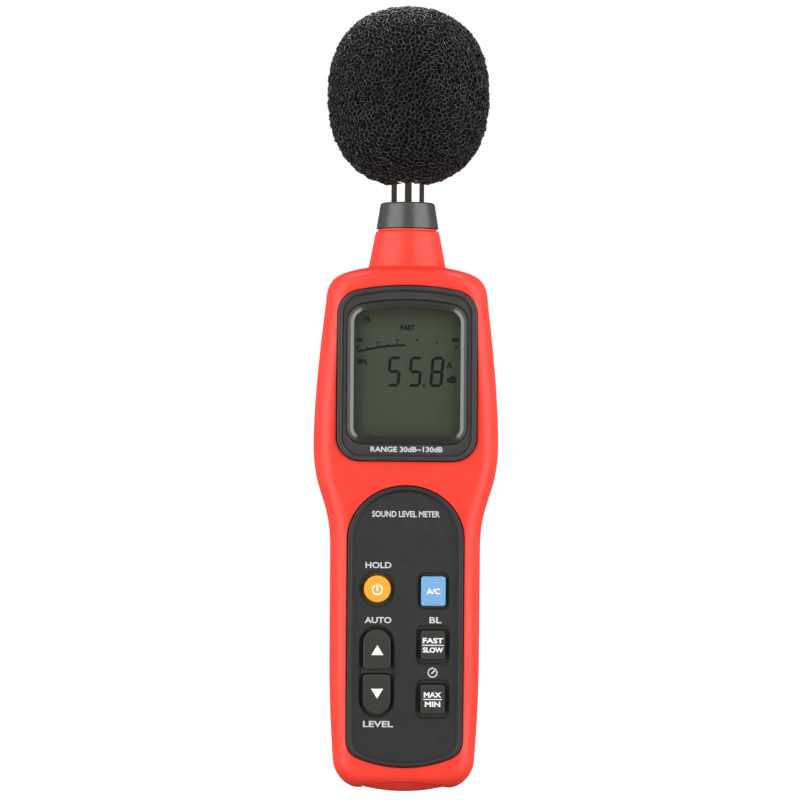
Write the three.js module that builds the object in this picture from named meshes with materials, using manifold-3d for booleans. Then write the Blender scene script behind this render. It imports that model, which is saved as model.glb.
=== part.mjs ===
// A handheld sound level meter, in millimetres, +Z up.
// The display looks along -Y, the rear face along +Y, and the microphone points up.
// Shapes are drawn with y = 0 on the casing's parting plane and z = 0 just below the object.
// The exported group moves the origin to the mouth of the tripod socket in the rear face.

import * as THREE from 'three';
import { mergeVertices } from 'three/addons/utils/BufferGeometryUtils.js';
import Module from 'manifold-3d';

const wasm = await Module();
wasm.setup();

// ---------------------------------------------------------------- driving dimensions

const GAP = 0.3; // between neighbours that rest on each other
const SPLIT = GAP / 2; // each casing half stops this far from the parting plane
const WALL = 2.2;
const FRONT_DEPTH = 17.5; // parting plane to the front face
const REAR_DEPTH = 19.5; // parting plane to the rear face
const REAR_TAPER = { start: 150, end: 198, drop: 3.5 }; // the rear face leans in at the top
const SHOULDER_POWER = 2.6; // superellipse power of the shoulders round both faces
const SHOULDER_STEPS = 4;

// Right half of the casing's outline as [x, z] control points of a chain of cubic curves,
// from the bottom centre to the top centre: at the parting plane, and round the flat face.
const PARTING_OUTLINE = [
  [0, 2.4], [6, 2.4], [12, 2.4], [17.3, 2.4],
  [21.2, 2.4], [25.9, 6.6], [26.5, 12],
  [26.9, 19], [28, 31], [28.05, 50],
  [28.05, 64], [28.05, 78], [28.1, 92],
  [28.1, 110], [34.6, 112], [34.6, 130.5],
  [34.6, 146], [32.6, 165], [30.4, 183],
  [30, 192], [27.5, 194.4], [14.75, 196.6],
  [10, 197.6], [5, 198.2], [0, 198.2],
];
const FACE_OUTLINE = [
  [0, 9.5], [4, 9.5], [9, 9.5], [13, 9.5],
  [17, 9.5], [19.6, 12.5], [19.7, 17],
  [19.9, 24], [20.4, 34], [20.4, 50],
  [20.4, 64], [20.4, 78], [20.4, 94],
  [20.4, 112], [27, 113], [27, 131],
  [27, 146], [24.6, 164], [23.2, 180],
  [22.6, 188.5], [18.5, 190.2], [11.5, 192],
  [8, 192.9], [4, 193.2], [0, 193.2],
];
const OUTLINE_STEPS = [1, 4, 2, 1, 5, 3, 4, 2]; // samples of each cubic

const NECK = { foot: 194, footRadius: 15, shoulder: 209.6, shoulderRadius: 12, bore: 9.5 };
const NECK_RING = { radius: 11, bottom: 210.5, top: 211 }; // under the collar
const COLLAR = { bottom: 211.3, top: 221, bottomRadius: 11.65, topRadius: 10.1 };
const SPIGOT = { radius: 9.2, bottom: 204 }; // the collar's foot, inside the neck
const TUBE = { radius: 6.15, wall: 0.8, bottom: 199, top: 262 };
const GRID = { top: 273, slotWidth: 1.2, slotLength: 9, slotPitch: 2.6 };
const FOAM = { radius: 31.1, halfHeight: 33.7, centre: 261.4, power: 2.3, boreTop: 274 };

const BEZEL = { half: 25.7, bottom: 124.7, top: 189.2, arch: 93, topCorner: 9, bottomCorner: 8.5 };
const WINDOW = { half: 22.2, bottom: 131, top: 184, arch: 88, topCorner: 7, bottomCorner: 6 };
const BEZEL_RIM_Y = -19.1;
const BEZEL_FLAT_Y = -18.3;
const BEZEL_BACK_Y = -15.1;
const BEZEL_RIM = 1.8;
const LEDGE = 1.6; // the bezel's ledge under the window's edge
const WINDOW_BEVEL = 2.5;
const WINDOW_Y = { back: -16.7, edge: -17.9, front: -18.9 };
const POCKET_Y = -16.4; // the ledge that the window lies on

const FASCIA = { half: 21.4, bottom: 11.6, shoulder: 95.3, dome: 20, arch: 45, corner: 7 };
const FASCIA_RIM_Y = -18.4;
const DECK_Y = -17.3;
const RECESS_Y = -15.5;
const FASCIA_BACK_Y = -14.3;
const FASCIA_RIM = 2;
const OPENING_BACK_Y = -13.9; // how deep the two openings in the front face are cut

const KEY_X = 10.35;
const KEY_TOP_Y = -18.2;
const KEY_FLANGE_Y = [-13.9, -13.1];
const PLUNGER_END_Y = -10.9;
const KEY_GAP = 0.35;
// Each key: half width, half height and corner radii (top and bottom).
const KEYS = [
  { name: 'key_power', x: -KEY_X, z: 77.3, half: [4.95, 4.95], corner: [4.95, 4.95], colour: 0xfab032 },
  { name: 'key_ac', x: KEY_X, z: 76.6, half: [4.5, 5.45], corner: [1, 1], colour: 0x7db2dc },
  { name: 'key_up', x: -KEY_X, z: 55.1, half: [5.1, 7.4], corner: [5.1, 1.4], colour: 0x3e3e38 },
  { name: 'key_down', x: -KEY_X, z: 38.4, half: [5.1, 7.4], corner: [1.4, 5.1], colour: 0x3e3e38 },
  { name: 'key_fast_slow', x: KEY_X, z: 56.7, half: [4.5, 5.45], corner: [1, 1], colour: 0x3e3e38 },
  { name: 'key_max_min', x: KEY_X, z: 36.7, half: [4.5, 5.45], corner: [1, 1], colour: 0x3e3e38 },
];
const RECESSES = [
  { x: -KEY_X, z: 77.3, half: [6.4, 6.4], corner: 6.4 },
  { x: KEY_X, z: 76.6, half: [5.7, 6.8], corner: 2 },
  { x: -KEY_X, z: 46.75, half: [6.4, 16.8], corner: 6.4 },
  { x: KEY_X, z: 56.7, half: [6.05, 7], corner: 2 },
  { x: KEY_X, z: 36.7, half: [6.05, 7], corner: 2 },
];

const BOARD_Y = [-9.1, -7.5];
const BAY = { half: 17, wall: 1.5, bottom: 8.7, top: 116, front: 1.65, back: 17.6 };
const CELL = { x: 8.2, y: 9.6, radius: 7.15, body: 49.2, nub: 1.3, nubRadius: 2.7, pitch: 50.8 };
const CELL_START = 13.7; // lowest point of the left column, which stands on a spring
const SPRING = { wire: 0.4, bottomRadius: 4.4, topRadius: 2.8, turns: 3, length: 3.6 };
const COVER = { half: 16.7, top: 115.7, front: 0.5, wall: 2 };
const HOOK = { x: 15.3, half: 1.2, front: 15.4, back: 17 }; // holds the cover's top edge
// The cover's lip fills an arched notch in the front shell, set back a little from its surface
// at the edge and bulging below it in the middle; its heel carries on behind the parting plane.
const LIP = { half: 15.1, top: 5.7, arch: 68, recess: 0.35, bulge: 1.9, front: -17, back: 12.5 };
const LIP_FADE = { front: [-16, -8], back: [2, 14] }; // where the bulge sets in and dies out
const HEEL_TOP = 4;

const SOCKET = { z: 132, bore: 3.175, radius: 5, length: 8, boss: 8 };
// The three pairs of casing screws: height, and distance from the casing's outline.
const SCREW_PAIRS = [[12, 6.2], [128, 6.2], [178, 5.3]];
const BOSS_RADIUS = 3.6;
const BEYOND = 40; // reaches past every face of the casing
const BELOW = 2; // reaches past its lowest point
const LIP_CEILING = 8;
const BOARD_SCREWS = [[9, 8.9], [14, 120]];
const SIDE_SOCKETS = [
  { name: 'output_jack', z: 160, y: -4.1, radius: 2.9, block: [6, 7] },
  { name: 'power_jack', z: 146, y: -2.8, radius: 3.7, block: [8.8, 9] },
];
const SIDE_SOCKET_X = [18, 29];
const TRIMMER = { z: 171, y: -4.6, radius: 1.6 };

const COLOURS = {
  casing: 0xff483a,
  dark: 0x3e3c3c,
  bezel: 0x4a4846,
  collar: 0x555555,
  chrome: 0xd8d8d8,
  foam: 0x151515,
  window: 0xa0a29d,
  display: 0x424839,
  board: 0x1f5c38,
  chip: 0x181818,
  white: 0xe6e6e0,
  silicone: 0x8a8a86,
  steel: 0xb4b6b8,
  brass: 0xb8964c,
  cell: 0x2f5f9c,
};

// ---------------------------------------------------------------- solids

function toSolid(geometry) {
  const bare = geometry.index ? geometry.toNonIndexed() : geometry.clone();
  bare.deleteAttribute('normal');
  bare.deleteAttribute('uv');
  const merged = mergeVertices(bare);
  const mesh = new wasm.Mesh({
    numProp: 3,
    vertProperties: new Float32Array(merged.attributes.position.array),
    triVerts: new Uint32Array(merged.index.array),
  });
  return new wasm.Manifold(mesh);
}

function toGeometry(solid) {
  const mesh = solid.getMesh();
  const geometry = new THREE.BufferGeometry();
  geometry.setAttribute('position', new THREE.BufferAttribute(mesh.vertProperties, 3));
  geometry.setIndex(new THREE.BufferAttribute(mesh.triVerts, 1));
  geometry.computeVertexNormals();
  return geometry;
}

function join(...solids) {
  return solids.reduce((whole, piece) => whole.add(piece));
}

function cut(solid, ...tools) {
  return tools.reduce((rest, tool) => rest.subtract(tool), solid);
}

// A box between two corners.
function block([x0, x1], [y0, y1], [z0, z1]) {
  const geometry = new THREE.BoxGeometry(x1 - x0, y1 - y0, z1 - z0);
  geometry.translate((x0 + x1) / 2, (y0 + y1) / 2, (z0 + z1) / 2);
  return toSolid(geometry);
}

// A shape drawn in x and z, as a plate between two y values.
function plate(shape, [y0, y1], curveSegments = 3) {
  const options = { depth: y1 - y0, bevelEnabled: false, curveSegments };
  const geometry = new THREE.ExtrudeGeometry(shape, options);
  geometry.rotateX(Math.PI / 2);
  geometry.translate(0, y1, 0);
  return toSolid(geometry);
}

// A profile of [radius, height] points turned about an axis along X, Y or Z through `at`.
function turned(profile, axis, at = [0, 0, 0], segments = 16) {
  const points = profile.map(([radius, height]) => new THREE.Vector2(radius, height));
  const geometry = new THREE.LatheGeometry(points, segments);
  if (axis === 'z') geometry.rotateX(Math.PI / 2);
  if (axis === 'x') geometry.rotateZ(-Math.PI / 2);
  geometry.translate(...at);
  return toSolid(geometry);
}

function rod(radius, [start, end], axis, at, segments = 12) {
  return turned([[0, start], [radius, start], [radius, end], [0, end]], axis, at, segments);
}

function area(outline) {
  return THREE.ShapeUtils.area(outline.map(([x, , z]) => new THREE.Vector2(x, z)));
}

function triangulatedLid(ring) {
  return THREE.ShapeUtils.triangulateShape(ring.map(([x, , z]) => new THREE.Vector2(x, z)), []);
}

// A lid of level strips for a ring that is symmetric about x = 0 and starts at its foot.
function mirroredLid(ring) {
  const count = ring.length;
  const strips = [];
  for (let i = 0; i < count / 2; i += 1) {
    const [left, leftNext] = [(count - i) % count, count - i - 1];
    if (left !== i) strips.push([i, i + 1, left]);
    if (leftNext !== i + 1) strips.push([i + 1, leftNext, left]);
  }
  return strips;
}

// A closed skin over rings of [x, y, z] points that follow each other along Y.
function skin(rings, lidOf = triangulatedLid) {
  const count = rings[0].length;
  const faces = [];
  for (let level = 0; level + 1 < rings.length; level += 1) {
    for (let i = 0; i < count; i += 1) {
      const next = (i + 1) % count;
      const [a, b] = [level * count + i, level * count + next];
      faces.push([a, b, b + count], [a, b + count, a + count]);
    }
  }
  for (const level of [0, rings.length - 1]) {
    for (const corners of lidOf(rings[level])) {
      const face = corners.map((index) => index + level * count);
      faces.push(level === 0 ? face.reverse() : face);
    }
  }
  const rising = rings[rings.length - 1][0][1] > rings[0][0][1];
  const inverted = area(rings[0]) > 0 === rising;
  const indices = faces.flatMap((face) => (inverted ? [...face].reverse() : face));
  const geometry = new THREE.BufferGeometry();
  geometry.setAttribute('position', new THREE.Float32BufferAttribute(rings.flat(2), 3));
  geometry.setIndex(indices);
  return toSolid(geometry);
}

// ---------------------------------------------------------------- outlines in x and z

// A rectangle whose top and bottom corners have their own radii.
function roundedRect(halfWidth, halfHeight, [topCorner, bottomCorner], x = 0, z = 0) {
  const shape = new THREE.Shape();
  const quarter = Math.PI / 2;
  const corners = [
    [1, -1, bottomCorner, -quarter],
    [1, 1, topCorner, 0],
    [-1, 1, topCorner, quarter],
    [-1, -1, bottomCorner, 2 * quarter],
  ];
  for (const [sideX, sideZ, radius, start] of corners) {
    const centreX = x + sideX * (halfWidth - radius);
    const centreZ = z + sideZ * (halfHeight - radius);
    shape.absarc(centreX, centreZ, radius, start, start + quarter, false);
  }
  shape.closePath();
  return shape;
}

// A flat-bottomed outline with an arched top, all round corners, moved in by `inset`.
function archedTop(spec, inset = 0) {
  const half = spec.half - inset;
  const [low, high] = [spec.bottom + inset, spec.top - inset];
  const [arch, corner, foot] = [spec.arch - inset, spec.topCorner - inset, spec.bottomCorner - inset];
  const archZ = high - arch;
  const rise = Math.sqrt((arch - corner) ** 2 - (half - corner) ** 2);
  const cornerZ = archZ + rise;
  const lean = Math.atan2(rise, half - corner);
  const shape = new THREE.Shape();
  shape.absarc(half - foot, low + foot, foot, -Math.PI / 2, 0, false);
  shape.absarc(half - corner, cornerZ, corner, 0, lean, false);
  shape.absarc(0, archZ, arch, lean, Math.PI - lean, false);
  shape.absarc(corner - half, cornerZ, corner, Math.PI - lean, Math.PI, false);
  shape.absarc(foot - half, low + foot, foot, Math.PI, 1.5 * Math.PI, false);
  shape.closePath();
  return shape;
}

// The keypad fascia's outline: an elliptical top and a shallow arched bottom.
function fasciaOutline(inset = 0) {
  const half = FASCIA.half - inset;
  const corner = FASCIA.corner - inset;
  const arch = FASCIA.arch - inset;
  const archZ = FASCIA.bottom + FASCIA.arch;
  const drop = Math.sqrt((arch - corner) ** 2 - (half - corner) ** 2);
  const cornerZ = archZ - drop;
  const lean = Math.atan2(drop, half - corner);
  const shape = new THREE.Shape();
  shape.absarc(0, archZ, arch, lean - Math.PI, -lean, false);
  shape.absarc(half - corner, cornerZ, corner, -lean, 0, false);
  shape.absellipse(0, FASCIA.shoulder, half, FASCIA.dome - inset, 0, Math.PI, false);
  shape.absarc(corner - half, cornerZ, corner, Math.PI, Math.PI + lean, false);
  shape.closePath();
  return shape;
}

function ringAt(shape, y, divisions = 3) {
  const points = shape.getPoints(divisions);
  const kept = points.filter((point, i) => i === 0 || point.distanceTo(points[i - 1]) > 1e-4);
  if (kept[0].distanceTo(kept[kept.length - 1]) < 1e-4) kept.pop();
  return kept.map((point) => [point.x, y, point.y]);
}

// ---------------------------------------------------------------- the casing's surface

// Samples a chain of cubics, each point moved inwards by `inset` along its normal.
function sampleOutline(controls, inset) {
  const points = [];
  OUTLINE_STEPS.forEach((steps, segment) => {
    const ends = controls.slice(segment * 3, segment * 3 + 4);
    const curve = new THREE.CubicBezierCurve(...ends.map(([x, z]) => new THREE.Vector2(x, z)));
    const last = segment === OUTLINE_STEPS.length - 1 ? steps : steps - 1;
    for (let i = 0; i <= last; i += 1) {
      const point = curve.getPoint(i / steps);
      const along = curve.getTangent(i / steps);
      points.push([point.x - along.y * inset, point.y + along.x * inset]);
    }
  });
  points[0][0] = 0;
  points[points.length - 1][0] = 0;
  return points;
}

// The share of its full depth that a casing half has at this height.
function fullness(side, height) {
  const { start, end, drop } = REAR_TAPER;
  const climb = Math.max(height - start, 0) / (end - start);
  return side < 0 ? 1 : 1 - (drop * climb ** 2) / REAR_DEPTH;
}

// One half of the casing as a closed solid; `side` is -1 for the front and 1 for the rear.
// `start` is how far from the parting plane it begins; a cutting tool begins behind it.
function casingHalf(side, inset, start = SPLIT) {
  const parting = sampleOutline(PARTING_OUTLINE, inset);
  const face = sampleOutline(FACE_OUTLINE, 0);
  const depth = (side < 0 ? FRONT_DEPTH : REAR_DEPTH) - inset;
  const ringOf = (inward, y) => {
    const right = parting.map(([x, z], i) => {
      const [faceX, faceZ] = face[i];
      const height = z + (faceZ - z) * inward;
      return [x + (faceX - x) * inward, side * y * fullness(side, height), height];
    });
    const left = right.slice(1, -1).reverse().map(([x, height, z]) => [-x, height, z]);
    return [...right, ...left];
  };
  const rings = start < 0 ? [ringOf(0, start)] : [];
  for (let step = 0; step <= SHOULDER_STEPS; step += 1) {
    const angle = (step / SHOULDER_STEPS) * (Math.PI / 2);
    const power = 2 / SHOULDER_POWER;
    const inward = 1 - Math.max(Math.cos(angle), 0) ** power;
    rings.push(ringOf(inward, SPLIT + (depth - SPLIT) * Math.sin(angle) ** power));
  }
  return skin(rings, mirroredLid);
}

function halfWidthAt(height) {
  const points = sampleOutline(PARTING_OUTLINE, 0);
  const above = points.findIndex(([, z]) => z > height);
  const [[x0, z0], [x1, z1]] = [points[above - 1], points[above]];
  return x0 + ((x1 - x0) * (height - z0)) / (z1 - z0);
}

function screwPlaces() {
  return SCREW_PAIRS.flatMap(([z, inset]) => {
    const x = halfWidthAt(z) - inset;
    return [[-x, z], [x, z]];
  });
}

function boardScrewPlaces() {
  return BOARD_SCREWS.flatMap(([x, z]) => [[-x, z], [x, z]]);
}

// One half of the hollow red neck, still without its bore.
function neckHalf(side) {
  const { foot, footRadius, shoulder, shoulderRadius } = NECK;
  const profile = [
    [0, foot],
    [footRadius, foot],
    [shoulderRadius, shoulder],
    [shoulderRadius - 0.4, shoulder + 0.45],
    [NECK_RING.radius, NECK_RING.bottom],
    [NECK_RING.radius, NECK_RING.top],
    [0, NECK_RING.top],
  ];
  const far = [SPLIT, BEYOND];
  const depth = side < 0 ? [-far[1], -far[0]] : far;
  const half = block([-BEYOND, BEYOND], depth, [foot - 1, NECK_RING.top + 1]);
  return turned(profile, 'z', [0, 0, 0], 24).intersect(half);
}

function neckBore() {
  return rod(NECK.bore, [NECK.foot - 9, NECK_RING.top + 1], 'z', [0, 0, 0], 24);
}

// The notch in the front shell from the front, or the lip in it: straight sides under an arch.
function notchOutline(clearance = 0) {
  const half = LIP.half + clearance;
  const arch = LIP.arch + clearance;
  const archZ = LIP.top - LIP.arch;
  const lean = Math.acos(half / arch);
  const shape = new THREE.Shape();
  shape.moveTo(-half, -BELOW);
  shape.lineTo(half, -BELOW);
  shape.absarc(0, archZ, arch, lean, Math.PI - lean, false);
  shape.closePath();
  return shape;
}

function smoothStep(value, [from, to]) {
  const share = Math.min(Math.max((value - from) / (to - from), 0), 1);
  return share * share * (3 - 2 * share);
}

// The height of the casing's underside at its middle, this far from the parting plane.
function undersideAt(y) {
  const depth = y < 0 ? FRONT_DEPTH : REAR_DEPTH;
  const share = Math.min(Math.abs(y) / depth, 1);
  const inward = 1 - Math.max(1 - share ** SHOULDER_POWER, 0) ** (1 / SHOULDER_POWER);
  const [low, high] = [PARTING_OUTLINE[0][1], FACE_OUTLINE[0][1]];
  return low + (high - low) * inward;
}

// What lies above the lip's and heel's bulging underside.
function lipBody() {
  const reach = COVER.half;
  const shares = [-1, -0.9, -0.7, -0.45, -0.2, 0.2, 0.45, 0.7, 0.9, 1];
  const columns = shares.map((share) => share * reach);
  const levels = [LIP.front, -16.4, -15.6, -14.4, -12.5, -10, -7, -3, 1, 5, 9, LIP.back];
  return skin(levels.map((y) => {
    const recess = LIP.recess * (1 - smoothStep(y, [-1, 1]));
    const swell = smoothStep(y, LIP_FADE.front) * (1 - smoothStep(y, LIP_FADE.back));
    const under = columns.map((x) => {
      const crown = Math.max(1 - (x / LIP.half) ** 2, 0);
      return [x, y, undersideAt(y) + recess - LIP.bulge * swell * crown];
    });
    return [...under, [reach, y, LIP_CEILING], [-reach, y, LIP_CEILING]];
  }));
}

function sideHoles() {
  const reach = [26, BEYOND];
  const sockets = SIDE_SOCKETS.map(({ z, y, radius }) => rod(radius + GAP, reach, 'x', [0, y, z]));
  return [...sockets, rod(TRIMMER.radius + GAP, reach, 'x', [0, TRIMMER.y, TRIMMER.z])];
}

function frontCasing() {
  const shell = cut(casingHalf(-1, 0), casingHalf(-1, WALL, -1));
  const posts = [
    ...screwPlaces().map(([x, z]) => rod(BOSS_RADIUS, [-12, -SPLIT], 'y', [x, 0, z])),
    ...boardScrewPlaces().map(([x, z]) => rod(2.3, [-16, BOARD_Y[0] - GAP], 'y', [x, 0, z], 8)),
  ];
  const pilots = [
    ...screwPlaces().map(([x, z]) => rod(1.75, [-10.5, 1], 'y', [x, 0, z], 8)),
    ...boardScrewPlaces().map(([x, z]) => rod(1.35, [-13.2, -8], 'y', [x, 0, z], 8)),
  ];
  return cut(
    join(shell, neckHalf(-1), ...posts),
    neckBore(),
    plate(archedTop(BEZEL, -GAP), [-BEYOND, OPENING_BACK_Y]),
    plate(fasciaOutline(-GAP), [-BEYOND, OPENING_BACK_Y], 4),
    plate(notchOutline(GAP), [-FRONT_DEPTH - 1, 1], 4),
    ...sideHoles(),
    ...pilots,
  );
}

// The five walls of the battery bay, with notches for the cover's hooks.
function batteryBay() {
  const { half, wall, bottom, top, front, back } = BAY;
  const outer = block([-half - wall, half + wall], [front - wall, back], [bottom - wall, top + wall]);
  const hollow = block([-half, half], [front, back + 1], [bottom, top]);
  const corner = block([-half - 3, half + 3], [15.8, back + 1], [bottom - wall - 1, bottom]);
  const rib = block([-0.4, 0.4], [front - 0.2, 5], [bottom + 2, top - 2]);
  const notches = [-1, 1].map((side) => {
    const centre = side * HOOK.x;
    const reach = HOOK.half + GAP + 0.1;
    return block([centre - reach, centre + reach], [12.5, back + 1], [top - 1, top + wall + 1]);
  });
  return cut(join(cut(outer, hollow), rib), corner, ...notches);
}

function socketPlace() {
  return [0, 0, SOCKET.z];
}

function rearCasing() {
  const shell = cut(casingHalf(1, 0), casingHalf(1, WALL, -1));
  const coverHole = join(
    block([-BAY.half, BAY.half], [0, 14], [-BELOW, HEEL_TOP + 3]),
    block([-BAY.half, BAY.half], [13, BEYOND], [-BELOW, COVER.top + GAP]),
  );
  const bosses = screwPlaces().map(([x, z]) => rod(BOSS_RADIUS, [SPLIT, 18], 'y', [x, 0, z]));
  const skinLimit = casingHalf(1, 0);
  const socketBoss = rod(SOCKET.boss, [9, 18], 'y', socketPlace(), 16);
  const screwHoles = screwPlaces().flatMap(([x, z]) => [
    rod(1.75, [-1, 21], 'y', [x, 0, z], 8),
    rod(2.95, [4.7, 21], 'y', [x, 0, z], 12),
  ]);
  const bush = rod(SOCKET.radius + GAP, [REAR_DEPTH - SOCKET.length - GAP, 22], 'y', socketPlace(), 20);
  const inside = join(...bosses, socketBoss).intersect(skinLimit);
  return cut(
    join(cut(shell, coverHole), neckHalf(1), inside, batteryBay()),
    neckBore(),
    bush,
    ...sideHoles(),
    ...screwHoles,
  );
}

function batteryCover() {
  const skinPiece = cut(casingHalf(1, 0), casingHalf(1, COVER.wall, -1));
  const zone = block([-COVER.half, COVER.half], [COVER.front, BEYOND], [-1, COVER.top]);
  const notch = plate(notchOutline(-GAP), [LIP.front, COVER.front + 1], 4);
  const heel = block([-COVER.half, COVER.half], [COVER.front, LIP.back], [-BELOW, HEEL_TOP]);
  const hooks = [-1, 1].map((side) => {
    const width = [side * HOOK.x - HOOK.half, side * HOOK.x + HOOK.half];
    const root = block(width, [HOOK.front, 17.9], [COVER.top - 5, COVER.top]);
    const tongue = block(width, [HOOK.front, HOOK.back], [COVER.top - 5, COVER.top + 2]);
    return join(root, tongue);
  });
  return join(skinPiece.intersect(zone), lipBody().intersect(join(notch, heel)), ...hooks);
}

// ---------------------------------------------------------------- display

function displayBezel() {
  const body = plate(archedTop(BEZEL), [BEZEL_FLAT_Y, BEZEL_BACK_Y]);
  const rim = skin([
    ringAt(archedTop(BEZEL, 0), BEZEL_FLAT_Y + 0.3),
    ringAt(archedTop(BEZEL, 0), BEZEL_RIM_Y + 0.4),
    ringAt(archedTop(BEZEL, 0.5), BEZEL_RIM_Y),
  ]);
  const well = plate(archedTop(BEZEL, BEZEL_RIM), [-BEYOND, BEZEL_FLAT_Y]);
  const pocket = plate(archedTop(WINDOW, -GAP), [-BEYOND, POCKET_Y]);
  const opening = plate(archedTop(WINDOW, LEDGE), [-BEYOND, OPENING_BACK_Y]);
  return cut(join(body, rim), well, pocket, opening);
}

function lensWindow() {
  return skin([
    ringAt(archedTop(WINDOW), WINDOW_Y.back),
    ringAt(archedTop(WINDOW), WINDOW_Y.edge),
    ringAt(archedTop(WINDOW, WINDOW_BEVEL), WINDOW_Y.front),
  ]);
}

const DISPLAY_GLASS = { x: [-20.4, 20.4], y: [-14.8, -13], z: [130.6, 184.4] };
const BACKLIGHT_Y = [-12.7, -10.4];

function displayHolder() {
  const outer = plate(roundedRect(23.2, 29.4, [6, 2], 0, 157.3), [-14.8, -9.4], 3);
  const { x, z } = DISPLAY_GLASS;
  const seat = block([x[0] - GAP, x[1] + GAP], [-20, -8], [z[0] - GAP, z[1] + GAP]);
  const bars = [138, 178].map((low) => block([-21.5, 21.5], [-10.1, -9.4], [low, low + 3]));
  const posts = screwPlaces().map(([px, pz]) => rod(BOSS_RADIUS + GAP, [-13, 0], 'y', [px, 0, pz]));
  return cut(join(cut(outer, seat), ...bars), ...posts);
}

// ---------------------------------------------------------------- keypad

function keyShape(key, inset = 0) {
  const [halfWidth, halfHeight] = key.half.map((half) => half - inset);
  const corners = key.corner.map((radius) => Math.max(radius - inset, 0.2));
  return roundedRect(halfWidth, halfHeight, corners);
}

// A key in its own frame, centred on x = z = 0: cap, flange and plunger.
function keySolid(key) {
  const cap = skin([
    ringAt(keyShape(key), KEY_FLANGE_Y[0] + 0.2, 2),
    ringAt(keyShape(key), KEY_TOP_Y + 0.5, 2),
    ringAt(keyShape(key, 0.5), KEY_TOP_Y, 2),
  ]);
  const flange = plate(keyShape(key, -0.8), KEY_FLANGE_Y, 2);
  const plunger = rod(1.5, [KEY_FLANGE_Y[1] - 0.3, PLUNGER_END_Y], 'y', [0, 0, 0], 8);
  return join(cap, flange, plunger);
}

function keypadFascia() {
  const body = plate(fasciaOutline(), [DECK_Y, FASCIA_BACK_Y], 4);
  const rim = skin([
    ringAt(fasciaOutline(0), DECK_Y + 0.3, 4),
    ringAt(fasciaOutline(0), FASCIA_RIM_Y + 0.5, 4),
    ringAt(fasciaOutline(0.6), FASCIA_RIM_Y, 4),
  ]);
  const well = plate(fasciaOutline(FASCIA_RIM), [-BEYOND, DECK_Y], 4);
  const recesses = RECESSES.map(({ x, z, half, corner }) =>
    plate(roundedRect(half[0], half[1], [corner, corner], x, z), [-BEYOND, RECESS_Y], 2));
  const holes = KEYS.map((key) => {
    const [halfWidth, halfHeight] = key.half.map((half) => half + KEY_GAP);
    const corners = key.corner.map((radius) => radius + KEY_GAP);
    return plate(roundedRect(halfWidth, halfHeight, corners, key.x, key.z), [-BEYOND, 0], 2);
  });
  return cut(join(body, rim), well, ...recesses, ...holes);
}

function keypadMembrane() {
  const sheet = plate(roundedRect(17.5, 33, [4, 4], 0, 57), [-12, -11.2], 1);
  const holes = KEYS.map(({ x, z }) => rod(1.9, [-13, -10], 'y', [x, 0, z], 8));
  return cut(sheet, ...holes);
}

function domeSheet() {
  const sheet = plate(roundedRect(17, 32.5, [3, 3], 0, 57), [-9.7, -9.4], 1);
  const dome = [[0, -9.9], [1.5, -9.9], [2.4, -9.6], [0, -9.6]];
  return join(sheet, ...KEYS.map(({ x, z }) => turned(dome, 'y', [x, 0, z], 8)));
}

// ---------------------------------------------------------------- electronics

function mainBoard() {
  const handle = block([-21.5, 21.5], BOARD_Y, [6.6, 112]);
  const head = plate(roundedRect(28, 38, [8, 10], 0, 149), BOARD_Y, 2);
  const whole = join(handle, head);
  const bossHoles = screwPlaces().map(([x, z]) => rod(BOSS_RADIUS + 0.4, [-10, -6], 'y', [x, 0, z]));
  const screwHoles = boardScrewPlaces().map(([x, z]) => rod(1.35, [-10, -6], 'y', [x, 0, z], 8));
  return cut(whole.intersect(casingHalf(-1, WALL + 0.5)), ...bossHoles, ...screwHoles);
}

function boardScrew() {
  const profile = [[0, -12.6], [1, -12.6], [1, -7.2], [2.1, -7.2], [2.1, -6.2], [1.4, -5.6], [0, -5.6]];
  return turned(profile, 'y', [0, 0, 0], 8);
}

function casingScrew() {
  const shank = [[0, -9], [1.4, -8.2], [1.4, 5], [2.6, 5], [2.6, 6.3], [1.8, 7], [0, 7]];
  const slot = (x, z) => block([-x, x], [6.1, 8], [-z, z]);
  return cut(turned(shank, 'y', [0, 0, 0], 10), slot(1.5, 0.3), slot(0.3, 1.5));
}

// A side socket: a block behind the board with a nose that fills the hole in the casing.
function sideSocket({ z, y, radius, block: [depth, height] }) {
  const [x0, x1] = SIDE_SOCKET_X;
  const front = BOARD_Y[1] + GAP;
  const body = block([x0, x1], [front, front + depth], [z - height / 2, z + height / 2]);
  const nose = rod(radius, [x1 - 1, 32], 'x', [0, y, z]);
  const bore = rod(radius * 0.62, [x0 + 2, 34], 'x', [0, y, z], 12);
  return cut(join(body, nose), bore);
}

function trimmerBody() {
  const { z, y } = TRIMMER;
  const body = block([22, 27], [BOARD_Y[1] + GAP, -2], [z - 2.6, z + 2.6]);
  return cut(body, rod(TRIMMER.radius + GAP, [25, 28], 'x', [0, y, z]));
}

function trimmerRotor() {
  const { radius } = TRIMMER;
  const rotor = rod(radius, [25.3, 29.4], 'x', [0, 0, 0], 16);
  return cut(rotor, block([28.6, 30], [-0.3, 0.3], [-radius - 1, radius + 1]));
}

// ---------------------------------------------------------------- microphone

function noseCollar() {
  const { bottom, top, bottomRadius, topRadius } = COLLAR;
  const bore = TUBE.radius + GAP;
  const profile = [
    [bore, SPIGOT.bottom],
    [SPIGOT.radius, SPIGOT.bottom],
    [SPIGOT.radius, bottom],
    [bottomRadius, bottom],
    [topRadius + 0.15, top - 0.9],
    [topRadius - 0.3, top - 0.25],
    [topRadius - 1.3, top],
    [bore, top],
    [bore, SPIGOT.bottom],
  ];
  return turned(profile, 'z', [0, 0, 0], 24);
}

function tube(radius, bore, [bottom, top], segments = 20) {
  const profile = [[bore, bottom], [radius, bottom], [radius, top], [bore, top], [bore, bottom]];
  return turned(profile, 'z', [0, 0, 0], segments);
}

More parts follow.
